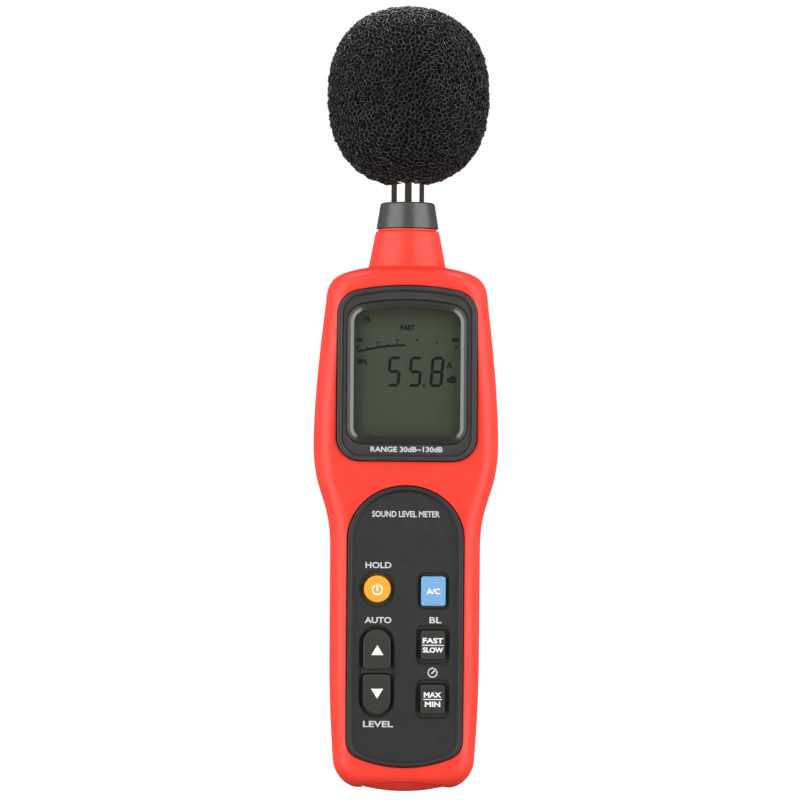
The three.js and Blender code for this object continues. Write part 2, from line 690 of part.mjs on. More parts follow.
// The cap over the capsule: a cup open at the bottom, with straight slots in its end.
function micGrid() {
  const { top, slotWidth, slotLength, slotPitch } = GRID;
  const { radius, wall } = TUBE;
  const profile = [
    [radius - wall, TUBE.top + GAP],
    [radius, TUBE.top + GAP],
    [radius, top - 0.4],
    [radius - 0.4, top],
    [0, top],
    [0, top - wall],
    [radius - wall, top - wall],
    [radius - wall, TUBE.top + GAP],
  ];
  const slots = [-1, 0, 1].map((step) => {
    const x = step * slotPitch;
    const half = (slotLength - Math.abs(step) * 2) / 2;
    return block([x - slotWidth / 2, x + slotWidth / 2], [-half, half], [top - 2, top + 1]);
  });
  return cut(turned(profile, 'z', [0, 0, 0], 20), ...slots);
}

function foamWindscreen() {
  const { radius, halfHeight, centre, power, boreTop } = FOAM;
  const bore = TUBE.radius + GAP;
  const rows = 12;
  const profile = [];
  const start = Math.asin((bore / radius) ** (power / 2));
  for (let row = 0; row <= rows; row += 1) {
    const angle = start + (row / rows) * (Math.PI - start);
    const across = Math.max(Math.sin(angle), 0) ** (2 / power);
    const along = -Math.sign(Math.cos(angle)) * Math.abs(Math.cos(angle)) ** (2 / power);
    profile.push([row === rows ? 0 : across * radius, centre + along * halfHeight]);
  }
  profile.push([0, boreTop], [bore, boreTop], profile[0]);
  return turned(profile, 'z', [0, 0, 0], 24);
}

// ---------------------------------------------------------------- batteries

// A conical helix that rises from z = 0.
class SpringCurve extends THREE.Curve {
  getPoint(share) {
    const radius = SPRING.bottomRadius + (SPRING.topRadius - SPRING.bottomRadius) * share;
    const angle = share * SPRING.turns * 2 * Math.PI;
    return new THREE.Vector3(
      radius * Math.cos(angle), radius * Math.sin(angle), share * SPRING.length);
  }
}

function springSolid() {
  const section = new THREE.Shape();
  section.absarc(0, 0, SPRING.wire, 0, 2 * Math.PI, false);
  const options = { extrudePath: new SpringCurve(), steps: 24, curveSegments: 2 };
  return toSolid(new THREE.ExtrudeGeometry(section, options));
}

// A contact plate lying across the bay's end, with its top face at z = 0.
function contactPlate([x0, x1]) {
  return block([x0, x1], [CELL.y - 6.5, CELL.y + 6.5], [-0.4, 0]);
}

function cellSolid() {
  const { radius, body, nub, nubRadius } = CELL;
  const profile = [
    [0, 0], [radius - 0.3, 0], [radius, 0.3], [radius, body],
    [nubRadius, body], [nubRadius, body + nub], [0, body + nub],
  ];
  return turned(profile, 'z', [0, 0, 0], 16);
}

// ---------------------------------------------------------------- the assembly

const meter = new THREE.Group();

function add(name, solid, colour, look = {}) {
  const material = new THREE.MeshStandardMaterial({ color: colour, roughness: 0.5, ...look });
  const mesh = new THREE.Mesh(toGeometry(solid), material);
  mesh.name = name;
  meter.add(mesh);
  return mesh;
}

const METAL = { metalness: 1, roughness: 0.3 };
const POLISHED = { metalness: 1, roughness: 0.08 };

function addCasings() {
  add('front_casing', frontCasing(), COLOURS.casing, { roughness: 0.45 });
  add('rear_casing', rearCasing(), COLOURS.casing, { roughness: 0.45 });
  add('battery_cover', batteryCover(), COLOURS.casing, { roughness: 0.45 });
  screwPlaces().forEach(([x, z], index) => {
    const screw = add(`casing_screw_${index + 1}`, casingScrew(), COLOURS.steel, METAL);
    screw.position.set(x, 0, z);
  });
  const [bore, radius] = [SOCKET.bore, SOCKET.radius];
  const [start, end] = [REAR_DEPTH - SOCKET.length, REAR_DEPTH - 0.2];
  const profile = [[bore, start], [radius, start], [radius, end], [bore, end], [bore, start]];
  add('tripod_bush', turned(profile, 'y', socketPlace(), 20), COLOURS.brass, METAL);
}

function addDisplay() {
  add('lcd_bezel', displayBezel(), COLOURS.bezel, { roughness: 0.6 });
  add('lens_window', lensWindow(), COLOURS.window, { roughness: 0.1 });
  const { x, y, z } = DISPLAY_GLASS;
  add('lcd_glass', block(x, y, z), COLOURS.display, { roughness: 0.2 });
  add('lcd_backlight', block(x, BACKLIGHT_Y, [z[0] + 4, z[1]]), COLOURS.white);
  add('lcd_frame', displayHolder(), COLOURS.white);
  const zebra = block([-18, 18], [BACKLIGHT_Y[0], BOARD_Y[0] - GAP], [z[0], z[0] + 2.5]);
  add('zebra_strip', zebra, COLOURS.silicone, { roughness: 0.8 });
}

function addKeypad() {
  add('keypad_fascia', keypadFascia(), COLOURS.dark, { roughness: 0.6 });
  for (const key of KEYS) {
    const mesh = add(key.name, keySolid(key), key.colour, { roughness: 0.8 });
    mesh.position.set(key.x, 0, key.z);
  }
  add('keypad_membrane', keypadMembrane(), COLOURS.silicone, { roughness: 0.8 });
  add('dome_sheet', domeSheet(), COLOURS.steel, METAL);
}

function addElectronics() {
  add('main_board', mainBoard(), COLOURS.board);
  add('processor_chip', block([-7, 7], [BOARD_Y[1] + GAP, -5.4], [150, 164]), COLOURS.chip);
  boardScrewPlaces().forEach(([x, z], index) => {
    const screw = add(`board_screw_${index + 1}`, boardScrew(), COLOURS.steel, METAL);
    screw.position.set(x, 0, z);
  });
  SIDE_SOCKETS.forEach((socket) => add(socket.name, sideSocket(socket), COLOURS.chip));
  add('trimmer_body', trimmerBody(), COLOURS.cell);
  const rotor = add('trimmer_rotor', trimmerRotor(), COLOURS.brass, METAL);
  rotor.position.set(0, TRIMMER.y, TRIMMER.z);
}

function addMicrophone() {
  const { radius, wall, bottom, top } = TUBE;
  add('nose_collar', noseCollar(), COLOURS.collar, { roughness: 0.5 });
  add('mic_tube', tube(radius, radius - wall, [bottom, top]), COLOURS.chrome, POLISHED);
  add('insulator_ring', tube(9.1, 4.7, [bottom - 3, bottom - GAP], 16), COLOURS.chip);
  add('preamp_board', block([-4.2, 4.2], [-0.6, 0.6], [bottom - 7, 254]), COLOURS.board);
  add('mic_capsule', rod(radius - wall - GAP, [256, 271.6], 'z', [0, 0, 0], 16), COLOURS.steel, METAL);
  add('mic_grid', micGrid(), COLOURS.chrome, POLISHED);
  add('foam_windscreen', foamWindscreen(), COLOURS.foam, { roughness: 1 });
}

function addBatteries() {
  const columns = [
    { x: -CELL.x, start: CELL_START, up: true },
    { x: CELL.x, start: BAY.bottom + 1, up: false },
  ];
  columns.forEach(({ x, start, up }, column) => {
    for (const step of [0, 1]) {
      const cell = add(`battery_cell_${column * 2 + step + 1}`, cellSolid(), COLOURS.cell);
      const low = start + step * CELL.pitch;
      cell.position.set(x, CELL.y, up ? low : low + CELL.body + CELL.nub);
      cell.rotation.x = up ? 0 : Math.PI;
    }
  });
  const spring = (x) => springSolid().translate([x, CELL.y, -0.2]);
  const bridge = join(contactPlate([-14, 14]), spring(-CELL.x));
  add('contact_bridge', bridge, COLOURS.steel, METAL).position.z = BAY.bottom + 0.7;
  const positive = add('contact_positive', contactPlate([-14, -2]), COLOURS.steel, METAL);
  positive.position.z = BAY.top - GAP;
  const sprung = join(contactPlate([-14, -2]), spring(-CELL.x));
  const negative = add('contact_negative', sprung, COLOURS.steel, METAL);
  negative.position.z = BAY.top - GAP - 0.4;
  negative.rotation.y = Math.PI;
}

addCasings();
addDisplay();
addKeypad();
addElectronics();
addMicrophone();
addBatteries();
meter.position.set(0, -REAR_DEPTH, -SOCKET.z);

export default meter;
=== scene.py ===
"""The looks of a handheld sound level meter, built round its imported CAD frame.

Shapes are drawn in millimetres in the casing's own frame: y = 0 on the parting plane, z = 0 just
below the object, the display facing -Y. `to_row` turns them into metres in the row frame.
"""

import math

import bmesh
import bpy
import numpy as np
from mathutils import Matrix, Vector


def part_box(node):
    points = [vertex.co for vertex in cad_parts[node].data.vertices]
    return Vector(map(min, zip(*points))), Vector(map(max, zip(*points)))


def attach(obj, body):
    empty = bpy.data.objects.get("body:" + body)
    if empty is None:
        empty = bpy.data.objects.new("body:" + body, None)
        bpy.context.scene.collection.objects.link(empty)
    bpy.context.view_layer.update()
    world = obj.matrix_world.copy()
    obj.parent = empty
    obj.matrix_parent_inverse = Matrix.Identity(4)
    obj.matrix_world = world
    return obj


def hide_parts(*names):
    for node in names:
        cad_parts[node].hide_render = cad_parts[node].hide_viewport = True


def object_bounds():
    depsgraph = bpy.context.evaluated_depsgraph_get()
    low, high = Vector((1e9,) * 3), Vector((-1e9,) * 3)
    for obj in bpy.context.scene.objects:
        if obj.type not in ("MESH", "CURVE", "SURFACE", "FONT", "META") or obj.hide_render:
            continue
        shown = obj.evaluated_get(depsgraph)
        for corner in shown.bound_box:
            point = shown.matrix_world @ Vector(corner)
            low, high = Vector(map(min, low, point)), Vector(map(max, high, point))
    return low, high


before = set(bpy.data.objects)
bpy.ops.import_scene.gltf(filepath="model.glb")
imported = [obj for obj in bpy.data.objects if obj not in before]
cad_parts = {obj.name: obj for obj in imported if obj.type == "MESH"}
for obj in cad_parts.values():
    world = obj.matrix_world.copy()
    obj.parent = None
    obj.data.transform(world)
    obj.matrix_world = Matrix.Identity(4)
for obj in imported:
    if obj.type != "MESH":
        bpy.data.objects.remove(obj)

cad_low, cad_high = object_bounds()
TAU = 2 * math.pi
SAME_POINT, NO_LENGTH = 2e-7, 1e-8  # metres

# ---- driving dimensions, mm

SPLIT = 0.15  # each casing half stops this far from the parting plane
GAP = 0.3  # between neighbours
WALL = 2.2
FRONT_DEPTH, REAR_DEPTH = 17.5, 19.5
TAPER_START, TAPER_END, TAPER_DROP = 150, 198, 3.5  # the rear face leans in at the top
SHOULDER_POWER, SHOULDER_STEPS = 2.6, 22
SOCKET_Z = 132
ORIGIN = np.array([0, REAR_DEPTH, SOCKET_Z])  # the row frame's origin in the casing's frame
FAR_FRONT, FAR_REAR = -24, 25  # clear of both faces, for cutters

# The right half of the outline as a chain of cubic curves from the bottom to the top centre:
# at the parting plane, and round the flat face.
PARTING_OUTLINE = [
    (0, 2.4), (6, 2.4), (12, 2.4), (17.3, 2.4),
    (21.2, 2.4), (25.9, 6.6), (26.5, 12),
    (26.9, 19), (28, 31), (28.05, 50),
    (28.05, 64), (28.05, 78), (28.1, 92),
    (28.1, 110), (34.6, 112), (34.6, 130.5),
    (34.6, 146), (32.6, 165), (30.4, 183),
    (30, 192), (27.5, 194.4), (14.75, 196.6),
    (10, 197.6), (5, 198.2), (0, 198.2),
]
FACE_OUTLINE = [
    (0, 9.5), (4, 9.5), (9, 9.5), (13, 9.5),
    (17, 9.5), (19.6, 12.5), (19.7, 17),
    (19.9, 24), (20.4, 34), (20.4, 50),
    (20.4, 64), (20.4, 78), (20.4, 94),
    (20.4, 112), (27, 113), (27, 131),
    (27, 146), (24.6, 164), (23.2, 180),
    (22.6, 188.5), (18.5, 190.2), (11.5, 192),
    (8, 192.9), (4, 193.2), (0, 193.2),
]
OUTLINE_STEPS = [4, 20, 8, 4, 26, 14, 22, 8]

BEZEL = {"half": 25.7, "bottom": 124.7, "top": 189.2, "arch": 93, "corners": (9, 8.5)}
WINDOW = {"half": 22.2, "bottom": 131, "top": 184, "arch": 88, "corners": (7, 6)}
BEZEL_TOP_Y, BEZEL_FLAT_Y, POCKET_Y, BEZEL_BACK_Y = -19.1, -18.3, -16.4, -15.1
LENS_Y = (-16.7, -17.9, -18.9)  # back, foot of the bevel, front
LENS_BEVEL = 2.5

FASCIA = {"half": 21.4, "bottom": 11.6, "shoulder": 95.3, "dome": 20, "arch": 45, "corner": 7}
FASCIA_RIM_Y, DECK_Y, RECESS_Y, FASCIA_BACK_Y = -18.4, -17.3, -15.5, -14.3
OPENING_Y = {"bezel": -14, "fascia": -13.9}  # how far in the front shell's openings are cut

KEY_FLANGE = 0.8  # how far a key's hidden flange stands out round its cap
KEY_TOP_Y, KEY_FLANGE_Y, PLUNGER_END_Y = -18.2, (-13.9, -13.1), -10.9
KEYS = {  # the corner radii at the top and bottom, the finish, and the width of its own recess
    "key_power": ((4.95, 4.95), "key_orange", 1.65),
    "key_ac": ((1, 1), "key_blue", 1.2),
    "key_up": ((5.1, 1.4), "key_dark", None),
    "key_down": ((1.4, 5.1), "key_dark", None),
    "key_fast_slow": ((1, 1), "key_dark", 1.55),
    "key_max_min": ((1, 1), "key_dark", 1.55),
}
SHARED_RECESS = (6.4, 16.8)  # half the size of the level keys' recess

NECK = {"foot": 194, "foot_radius": 15, "shoulder": 209.6, "shoulder_radius": 12, "bore": 9.5}
NECK_RING = {"radius": 11, "bottom": 210.5, "top": 211}
COLLAR = {"bottom": 211.3, "top": 221, "bottom_radius": 11.65, "top_radius": 10.1}
SPIGOT_RADIUS, SPIGOT_BOTTOM = 9.2, 204
TUBE_RADIUS, TUBE_WALL, TUBE_BOTTOM, TUBE_TOP, GRID_TOP = 6.15, 0.8, 199, 262, 273
FOAM = {"radius": 31.1, "above": 33.7, "below": 34.6, "centre": 261.4, "power": 2.3}
FOAM_BORE_TOP = 274

BAY = {"half": 17, "wall": 1.5, "bottom": 8.7, "top": 116, "front": 1.65, "back": 17.6}
BAY_FOOT_Y, HOOK_NOTCH_Y, BAY_RIB_BACK = 16.4, 12.5, 5
COVER = {"half": 16.7, "top": 115.7, "front": 0.5, "wall": 2, "edge": 0.3, "corner": 1.7}
HOOK = {"x": 15.3, "half": 1.2, "front": 15.4, "back": 17, "root": 17.9}
LIP = {"half": 15.1, "top": 5.7, "arch": 68, "recess": 0.35, "bulge": 1.8, "heel_top": 4}
LIP_FRONT, LIP_BACK, LIP_CEILING = -17, 12.5, 8
LIP_FADE_IN, LIP_FADE_OUT = (-16, -8), (2, 14)  # where its bulge sets in and dies out
LIP_GAP = 0.2
SCREWS = [f"casing_screw_{i}" for i in range(1, 7)]
BOSS_RADIUS, BOSS_END_Y, COUNTERBORE, SCREW_HOLE, SCREW_SEAT_Y = 3.6, 18, 2.95, 1.75, 4.7
SOCKET_BOSS_RADIUS, SOCKET_BOSS_Y = 8, 9
SIDE_CUT = (26, 40)  # in x, from inside the right-hand wall to clear of it
SIDE_SOCKETS = {"output_jack": (2.9, -4.1), "power_jack": (3.7, -2.8)}  # the nose's radius and y

# ---- lettering, mm

LCD_Y = -14.8  # the face of the display
INK, INK_ROOT = 0.04, 0.02  # how far lettering stands off its surface, and sinks into it
PLAIN, LCD_BOLD, KEY_BOLD = 0.025, 0.04, 0.037  # how much heavier than the typeface words are
DISPLAY_WORDS = {  # centre and size
    "FAST": ((0.1, 173.9), (5.3, 1.96)),
    "30": ((-17.6, 169.3), (2.4, 1.6)),
    "80": ((17.9, 169.4), (2.6, 1.6)),
    "SPL": ((-16.4, 161.15), (4.1, 1.9)),
    "A": ((15.65, 160.1), (2.2, 2.5)),
    "dB": ((16.5, 154.85), (3.6, 2.6)),
}
DIGIT_SIZE, DIGIT_STROKE, DIGIT_GAP, DIGIT_LEAN = (4.9, 11.3), 1.12, 0.08, math.tan(math.radians(5))
SEGMENTS = {  # the ends of each stroke of a figure, in halves of its width and height
    "a": ((-1, 1), (1, 1)), "b": ((1, 1), (1, 0)), "c": ((1, 0), (1, -1)), "d": ((-1, -1), (1, -1)),
    "e": ((-1, 0), (-1, -1)), "f": ((-1, 1), (-1, 0)), "g": ((-1, 0), (1, 0)),
}
FIGURES = (("afgcd", -4.75), ("afgcd", 3.1), ("abcdefg", 11.1))  # strokes and x
FIGURES_Z, POINT_AT, CLOCK_AT = 157.6, (6.3, 152.6), (-14.95, 176.7)
BAR = {"centre": (0.55, 97.4), "radius": 70, "half": 0.38}  # the analogue bar
BAR_START, BAR_LAST_TICK, BAR_END = -18.55, -4.15, -1.1
SCALE_DOTS = {"centre": (0.4, 103.3), "radius": 66, "reach": 18.2, "count": 6}
DECK_WORDS = {  # centre and width
    "SOUND LEVEL METER": ((0, 105), 25),
    "HOLD": ((-10, 86.1), 9.6),
    "AUTO": ((-10, 65.8), 9.9),
    "BL": ((11.2, 65.9), 4.5),
    "LEVEL": ((-9.7, 27.4), 11.1),
}
KEY_WORDS = {  # upper word, its width, lower word, its width
    "key_fast_slow": ("FAST", 7.6, "SLOW", 7.6),
    "key_max_min": ("MAX", 6.5, "MIN", 5.7),
}

# ---- finishes

# Each finish: linear colour, roughness, and what differs from `textured`'s own settings.
FINISHES = {
    "casing_red": ((0.93, 0.045, 0.025), 0.44, {"grain": (0.18, 0.004), "mottle": 0.03, "spread": 0.05}),
    "fascia_dark": ((0.0225, 0.0215, 0.0215), 0.5, {"grain": (0.22, 0.012)}),
    # The recess floors' tone below is painted light: paler than the deck, to offset the shade that falls in
    # the key recesses.
    "recess_dark": ((0.054, 0.051, 0.046), 0.6, {"grain": (0.22, 0.01)}),
    "bezel_dark": ((0.042, 0.040, 0.038), 0.42, {"grain": (0.2, 0.006)}),
    "collar_grey": ((0.06, 0.059, 0.056), 0.33, {"grain": None, "Specular IOR Level": 0.9}),
    "grey_silicone": ((0.25, 0.25, 0.24), 0.7, {}),
    "white_plastic": ((0.75, 0.75, 0.72), 0.5, {}),
    "black_plastic": ((0.02, 0.02, 0.02), 0.45, {}),
    "key_orange": ((0.95, 0.40, 0.025), 0.5, {"grain": (0.25, 0.006), "mottle": 0.03}),
    "key_blue": ((0.19, 0.41, 0.68), 0.5, {"grain": (0.25, 0.006), "mottle": 0.03}),
    "key_dark": ((0.028, 0.028, 0.022), 0.55, {"grain": (0.25, 0.008)}),
    "plated_steel": ((0.62, 0.63, 0.64), 0.28, {"grain": (0.6, 0.002), "Metallic": 1.0}),
    "brass": ((0.72, 0.5, 0.2), 0.3, {"grain": (0.5, 0.002), "Metallic": 1.0}),
    "polished_chrome": (
        (0.60, 0.555, 0.50), 0.09, {"grain": None, "mottle": 0.01, "spread": 0.03, "Metallic": 1.0},
    ),
    "trimmer_blue": ((0.03, 0.12, 0.42), 0.4, {}),
    "circuit_board": ((0.02, 0.16, 0.06), 0.35, {"grain": (0.4, 0.02)}),
    "cell_sleeve": ((0.03, 0.09, 0.36), 0.35, {"grain": None, "mottle": 0.02, "spread": 0.02}),
    "cell_band": ((0.72, 0.33, 0.1), 0.35, {"grain": (0.5, 0.002), "Metallic": 0.3}),
    "open_cell_foam": ((0.0155, 0.015, 0.014), 0.27, {"grain": (0.3, 0.02), "Specular IOR Level": 0.8}),
    # The inner net's and the core's colours are painted shade: darker than the foam's own colour, for what
    # lies deeper in it.
    "foam_shaded": ((0.007, 0.007, 0.007), 0.6, {"grain": (0.15, 0.02)}),
    "foam_core": ((0.004, 0.004, 0.004), 0.9, {"grain": (0.5, 0.3)}),
    "ink_white": ((0.60, 0.62, 0.66), 0.45, {"grain": (0.1, 0.002), "mottle": 0.02}),
    "key_white": ((0.92, 0.93, 0.95), 0.45, {"grain": (0.1, 0.002), "mottle": 0.02}),
    "lcd_ink": (
        (0.005, 0.007, 0.005), 0.6, {"grain": None, "mottle": 0.02, "Specular IOR Level": 0.1},
    ),
    "lens_edge": ((0.028, 0.031, 0.023), 0.2, {
        "grain": None, "mottle": 0.03, "spread": 0.03,
        "Specular IOR Level": 1.0, "Coat Weight": 1.0, "Coat Roughness": 0.15,
    }),
    "lens_rim": ((0.03, 0.03, 0.027), 0.35, {"grain": None, "mottle": 0.03, "spread": 0.03}),
}
# The display's darker top tone is painted shade, faded in over the top 12 mm of the display.
LCD_TONE, LCD_TOP_SHADE = (0.060, 0.072, 0.046, 1), (0.044, 0.047, 0.029, 1)
CLEAR_TINT = (0.95, 0.97, 0.95)
WINDOW_GLOSS = 0.018  # the share of the window that reflects

NODE_BEVEL = 0.15  # millimetres off the edges of the CAD solids that are kept
NODE_FINISHES = {  # the starts of the names of the nodes that take each finish
    "display_glass": ("lcd_glass",),
    "white_plastic": ("lcd_backlight", "lcd_frame"),
    "grey_silicone": ("zebra_strip", "keypad_membrane"),
    "plated_steel": ("dome_sheet", "mic_capsule", "board_screw"),
    "circuit_board": ("main_board", "preamp_board"),
    "black_plastic": ("processor_chip", "insulator_ring"),
    "trimmer_blue": ("trimmer_body",),
}

# ---- meshes


def to_row(points):
    """Casing-frame millimetres to row-frame metres."""
    return (np.asarray(points, float) - ORIGIN) / 1000


def centre_of(node):
    """The middle of a CAD node's box, in casing-frame millimetres."""
    low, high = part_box(node)
    return (np.array(low) + np.array(high)) * 500 + ORIGIN


def half_size_of(node):
    """Half the size of a CAD node's box, in millimetres."""
    low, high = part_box(node)
    return (np.array(high) - np.array(low)) * 500


def unit(vectors):
    return vectors / np.linalg.norm(vectors, axis=1)[:, None]


def make_object(name, points, faces, marks=None):
    """An object from casing-frame points, with repeated points merged, what has no area dropped
    and every face turned outwards. `marks` gives each face's material index."""
    mesh = bpy.data.meshes.new(name)
    mesh.from_pydata(to_row(points).tolist(), [], [tuple(face) for face in faces])
    if marks is not None:
        mesh.polygons.foreach_set("material_index", np.asarray(marks, np.int32))
    built = bpy.data.objects.new(name, mesh)
    bpy.context.scene.collection.objects.link(built)
    shape = bmesh.new()
    shape.from_mesh(mesh)
    bmesh.ops.remove_doubles(shape, verts=shape.verts, dist=SAME_POINT)
    bmesh.ops.dissolve_degenerate(shape, edges=shape.edges, dist=NO_LENGTH)
    bmesh.ops.recalc_face_normals(shape, faces=shape.faces)
    shape.to_mesh(mesh)
    shape.free()
    return built


def skin(rings, loop=False, strips=False):
    """Points and faces over rings that follow each other. The ends are closed, or joined
    in a loop. `strips` closes them with level strips, for rings symmetric about x = 0."""
    rings = np.asarray(rings, float)
    levels, count = rings.shape[:2]
    index = np.arange(levels * count).reshape(levels, count)
    here, there = (index, np.roll(index, -1, 0)) if loop else (index[:-1], index[1:])
    corners = [here, np.roll(here, -1, 1), np.roll(there, -1, 1), there]
    faces = np.stack(corners, axis=-1).reshape(-1, 4).tolist()
    for start in () if loop else (0, (levels - 1) * count):
        if strips:
            faces.extend(level_strips(count, start))
        else:
            faces.append(tuple(range(start, start + count)))
    return rings.reshape(-1, 3), faces


def level_strips(count, start):
    """Faces that close a ring symmetric about x = 0 whose first point is its foot."""
    faces = []
    for i in range(count // 2):
        corners = [i, i + 1, count - i - 1, (count - i) % count]
        faces.append(tuple(start + c for c in dict.fromkeys(corners)))
    return faces


def merged(*parts):
    """Several (points, faces) as one."""
    points, faces = [], []
    for part_points, part_faces in parts:
        shift = sum(len(p) for p in points)
        points.append(np.asarray(part_points, float))
        faces.extend(tuple(i + shift for i in face) for face in part_faces)
    return np.vstack(points), faces


def softened(profile, steps=4):
    """A chain of (u, v) or (u, v, radius) corners with each radius turned into a curve."""
    corners = [np.array(c[:2], float) for c in profile]
    radii = [c[2] if len(c) > 2 else 0 for c in profile]
    out = []
    for i, (corner, radius) in enumerate(zip(corners, radii)):
        if not radius or i in (0, len(corners) - 1):
            out.append(corner)
            continue
        before, after = corners[i - 1] - corner, corners[i + 1] - corner
        reach = min(radius, 0.49 * np.linalg.norm(before), 0.49 * np.linalg.norm(after))
        start = corner + before / np.linalg.norm(before) * reach
        end = corner + after / np.linalg.norm(after) * reach
        for t in np.linspace(0, 1, steps + 1):
            out.append((1 - t) ** 2 * start + 2 * t * (1 - t) * corner + t * t * end)
    return out


def rounding(inset, face_y, across, along, steps=3):
    """Profile points of a quarter turn that ends on the level `face_y`."""
    turns = np.linspace(0, TAU / 4, steps + 1)
    return [(inset + across * (1 - math.cos(a)), face_y - along * (1 - math.sin(a))) for a in turns]


def turned(profile, axis="z", at=(0, 0, 0), segments=64, loop=False):
    """A profile of (radius, height) points turned about an axis through `at`."""
    angles = np.arange(segments) / segments * TAU
    rings = []
    for radius, height in profile:
        u, v = radius * np.cos(angles), radius * np.sin(angles)
        w = np.full(segments, float(height))
        columns = {"x": (w, u, v), "y": (v, w, u), "z": (u, v, w)}[axis]
        rings.append(np.column_stack(columns) + np.array(at))
    return skin(rings, loop=loop)


def rod(radius, ends, axis, at, segments=48):
    """A plain cylinder, for cutters and joins."""
    return turned([(radius, ends[0]), (radius, ends[1])], axis, at, segments)


def block(x, y, z):
    """A box between two corners."""
    foot = ((x[0], y[0]), (x[1], y[0]), (x[1], y[1]), (x[0], y[1]))
    return skin([[(u, v, w) for u, v in foot] for w in z])


def plate(outline, profile, loop=False):
    """A solid from an outline(inset) in x and z, through a profile of (inset, y) levels. With
    `loop` the last level joins the first, for a frame with an opening."""
    rings = []
    for inset, y in profile:
        flat = outline(inset)
        rings.append(np.column_stack([flat[:, 0], np.full(len(flat), y), flat[:, 1]]))
    return skin(rings, loop=loop)


def sweep(path, radius, sides):
    """A round wire along a path of points."""
    tangents = unit(np.gradient(path, axis=0))
    side = np.cross(tangents[0], (0.3, 0.5, 0.81))
    angles = np.arange(sides) / sides * TAU
    rings = []
    for point, tangent in zip(path, tangents):
        side = side - tangent * (side @ tangent)
        side /= np.linalg.norm(side)
        up = np.cross(tangent, side)
        rings.append(point + radius * (np.outer(np.cos(angles), side) + np.outer(np.sin(angles), up)))
    return skin(rings)


def carved(target, *tools, how="DIFFERENCE"):
    """Applies solids to `target` one after another, and removes them. A tool is an object or
    (points, faces)."""
    cutters = [t if isinstance(t, bpy.types.Object) else make_object("tool", *t) for t in tools]
    for cutter in cutters:
        change = target.modifiers.new("carve", "BOOLEAN")
        change.operation = how
        change.solver = "MANIFOLD"
        change.object = cutter
    bake_modifiers(target)
    for cutter in cutters:
        bpy.data.objects.remove(cutter)
    return target


def bake_modifiers(target):
    mesh = mesh_of(target)
    target.modifiers.clear()
    target.data = mesh


def mesh_of(thing):
    """A new mesh of an object as it is shown."""
    bpy.context.view_layer.update()
    graph = bpy.context.evaluated_depsgraph_get()
    return bpy.data.meshes.new_from_object(thing.evaluated_get(graph))


def smooth(mesh, degrees):
    """Smooth shading, with edges sharper than that kept crisp."""
    mesh.shade_smooth()
    shape = bmesh.new()
    shape.from_mesh(mesh)
    limit = math.radians(degrees)
    for edge in shape.edges:
        edge.smooth = len(edge.link_faces) == 2 and edge.calc_face_angle(0) < limit
    shape.to_mesh(mesh)
    shape.free()


def finish(piece, body, finishes, node=None, degrees=35):
    """Shading, materials and the body of a piece. `finishes` are names with spaces between
    them, in the order of the piece's materials, and `node` is the CAD node it stands for, which it hides."""
    mesh = piece.data
    if degrees:
        smooth(mesh, degrees)
    names = finishes.split()
    marks = [0] * len(mesh.polygons)
    if len(names) > 1:
        mesh.polygons.foreach_get("material_index", marks)
    mesh.materials.clear()
    for name in names:
        mesh.materials.append(MATERIALS[name])
    mesh.polygons.foreach_set("material_index", marks)
    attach(piece, body)
    if node:
        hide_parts(node)


# ---- outlines in x and z


def arc(centre, radius, start, end, steps):
    """Points along part of a circle, or of an ellipse where `radius` is a pair."""
    angles = np.linspace(start, end, steps + 1)
    across, up = np.broadcast_to(radius, 2)
    return np.column_stack([centre[0] + across * np.cos(angles), centre[1] + up * np.sin(angles)])


def rounded_rect(half, corners, centre=(0, 0), inset=0, steps=8):
    """`corners` are the radii at the top and at the bottom."""
    half = np.array(half) - inset
    points = []
    for quarter, side in enumerate(((1, -1), (1, 1), (-1, 1), (-1, -1))):
        radius = min(max(corners[side[1] < 0] - inset, 0.05), *half)
        turn = (quarter - 1) * TAU / 4
        middle = np.array(centre) + (half - radius) * side
        points.append(arc(middle, radius, turn, turn + TAU / 4, steps))
    return np.vstack(points)


def arched_top(spec, inset=0, steps=10):
    """Flat at the bottom and arched at the top, with round corners."""
    half = spec["half"] - inset
    low, high = spec["bottom"] + inset, spec["top"] - inset
    arch, corner, foot = spec["arch"] - inset, spec["corners"][0] - inset, spec["corners"][1] - inset
    arch_z = high - arch
    rise = math.sqrt((arch - corner) ** 2 - (half - corner) ** 2)
    lean = math.atan2(rise, half - corner)
    quarter = TAU / 4
    return np.vstack([
        arc((half - foot, low + foot), foot, -quarter, 0, steps),
        arc((half - corner, arch_z + rise), corner, 0, lean, steps),
        arc((0, arch_z), arch, lean, math.pi - lean, steps * 2)[1:-1],
        arc((corner - half, arch_z + rise), corner, math.pi - lean, math.pi, steps),
        arc((foot - half, low + foot), foot, math.pi, math.pi + quarter, steps),
    ])


def fascia_outline(inset=0, steps=12):
    """An elliptical top and a shallow arched bottom."""
    half = FASCIA["half"] - inset
    corner, arch = FASCIA["corner"] - inset, FASCIA["arch"] - inset
    arch_z = FASCIA["bottom"] + FASCIA["arch"]
    drop = math.sqrt((arch - corner) ** 2 - (half - corner) ** 2)
    lean = math.atan2(drop, half - corner)
    return np.vstack([
        arc((0, arch_z), arch, lean - math.pi, -lean, steps)[1:-1],
        arc((half - corner, arch_z - drop), corner, -lean, 0, steps),
        arc((0, FASCIA["shoulder"]), (half, FASCIA["dome"] - inset), 0, math.pi, steps * 4),
        arc((corner - half, arch_z - drop), corner, math.pi, math.pi + lean, steps),
    ])


def notch_outline(inset=0, steps=40):
    """The lip's notch in the front shell: straight sides under an arch."""
    half, arch = LIP["half"] - inset, LIP["arch"] - inset
    lean = math.acos(half / arch)
    over = arc((0, LIP["top"] - LIP["arch"]), arch, lean, math.pi - lean, steps)
    return np.vstack([[(-half, -2), (half, -2)], over])


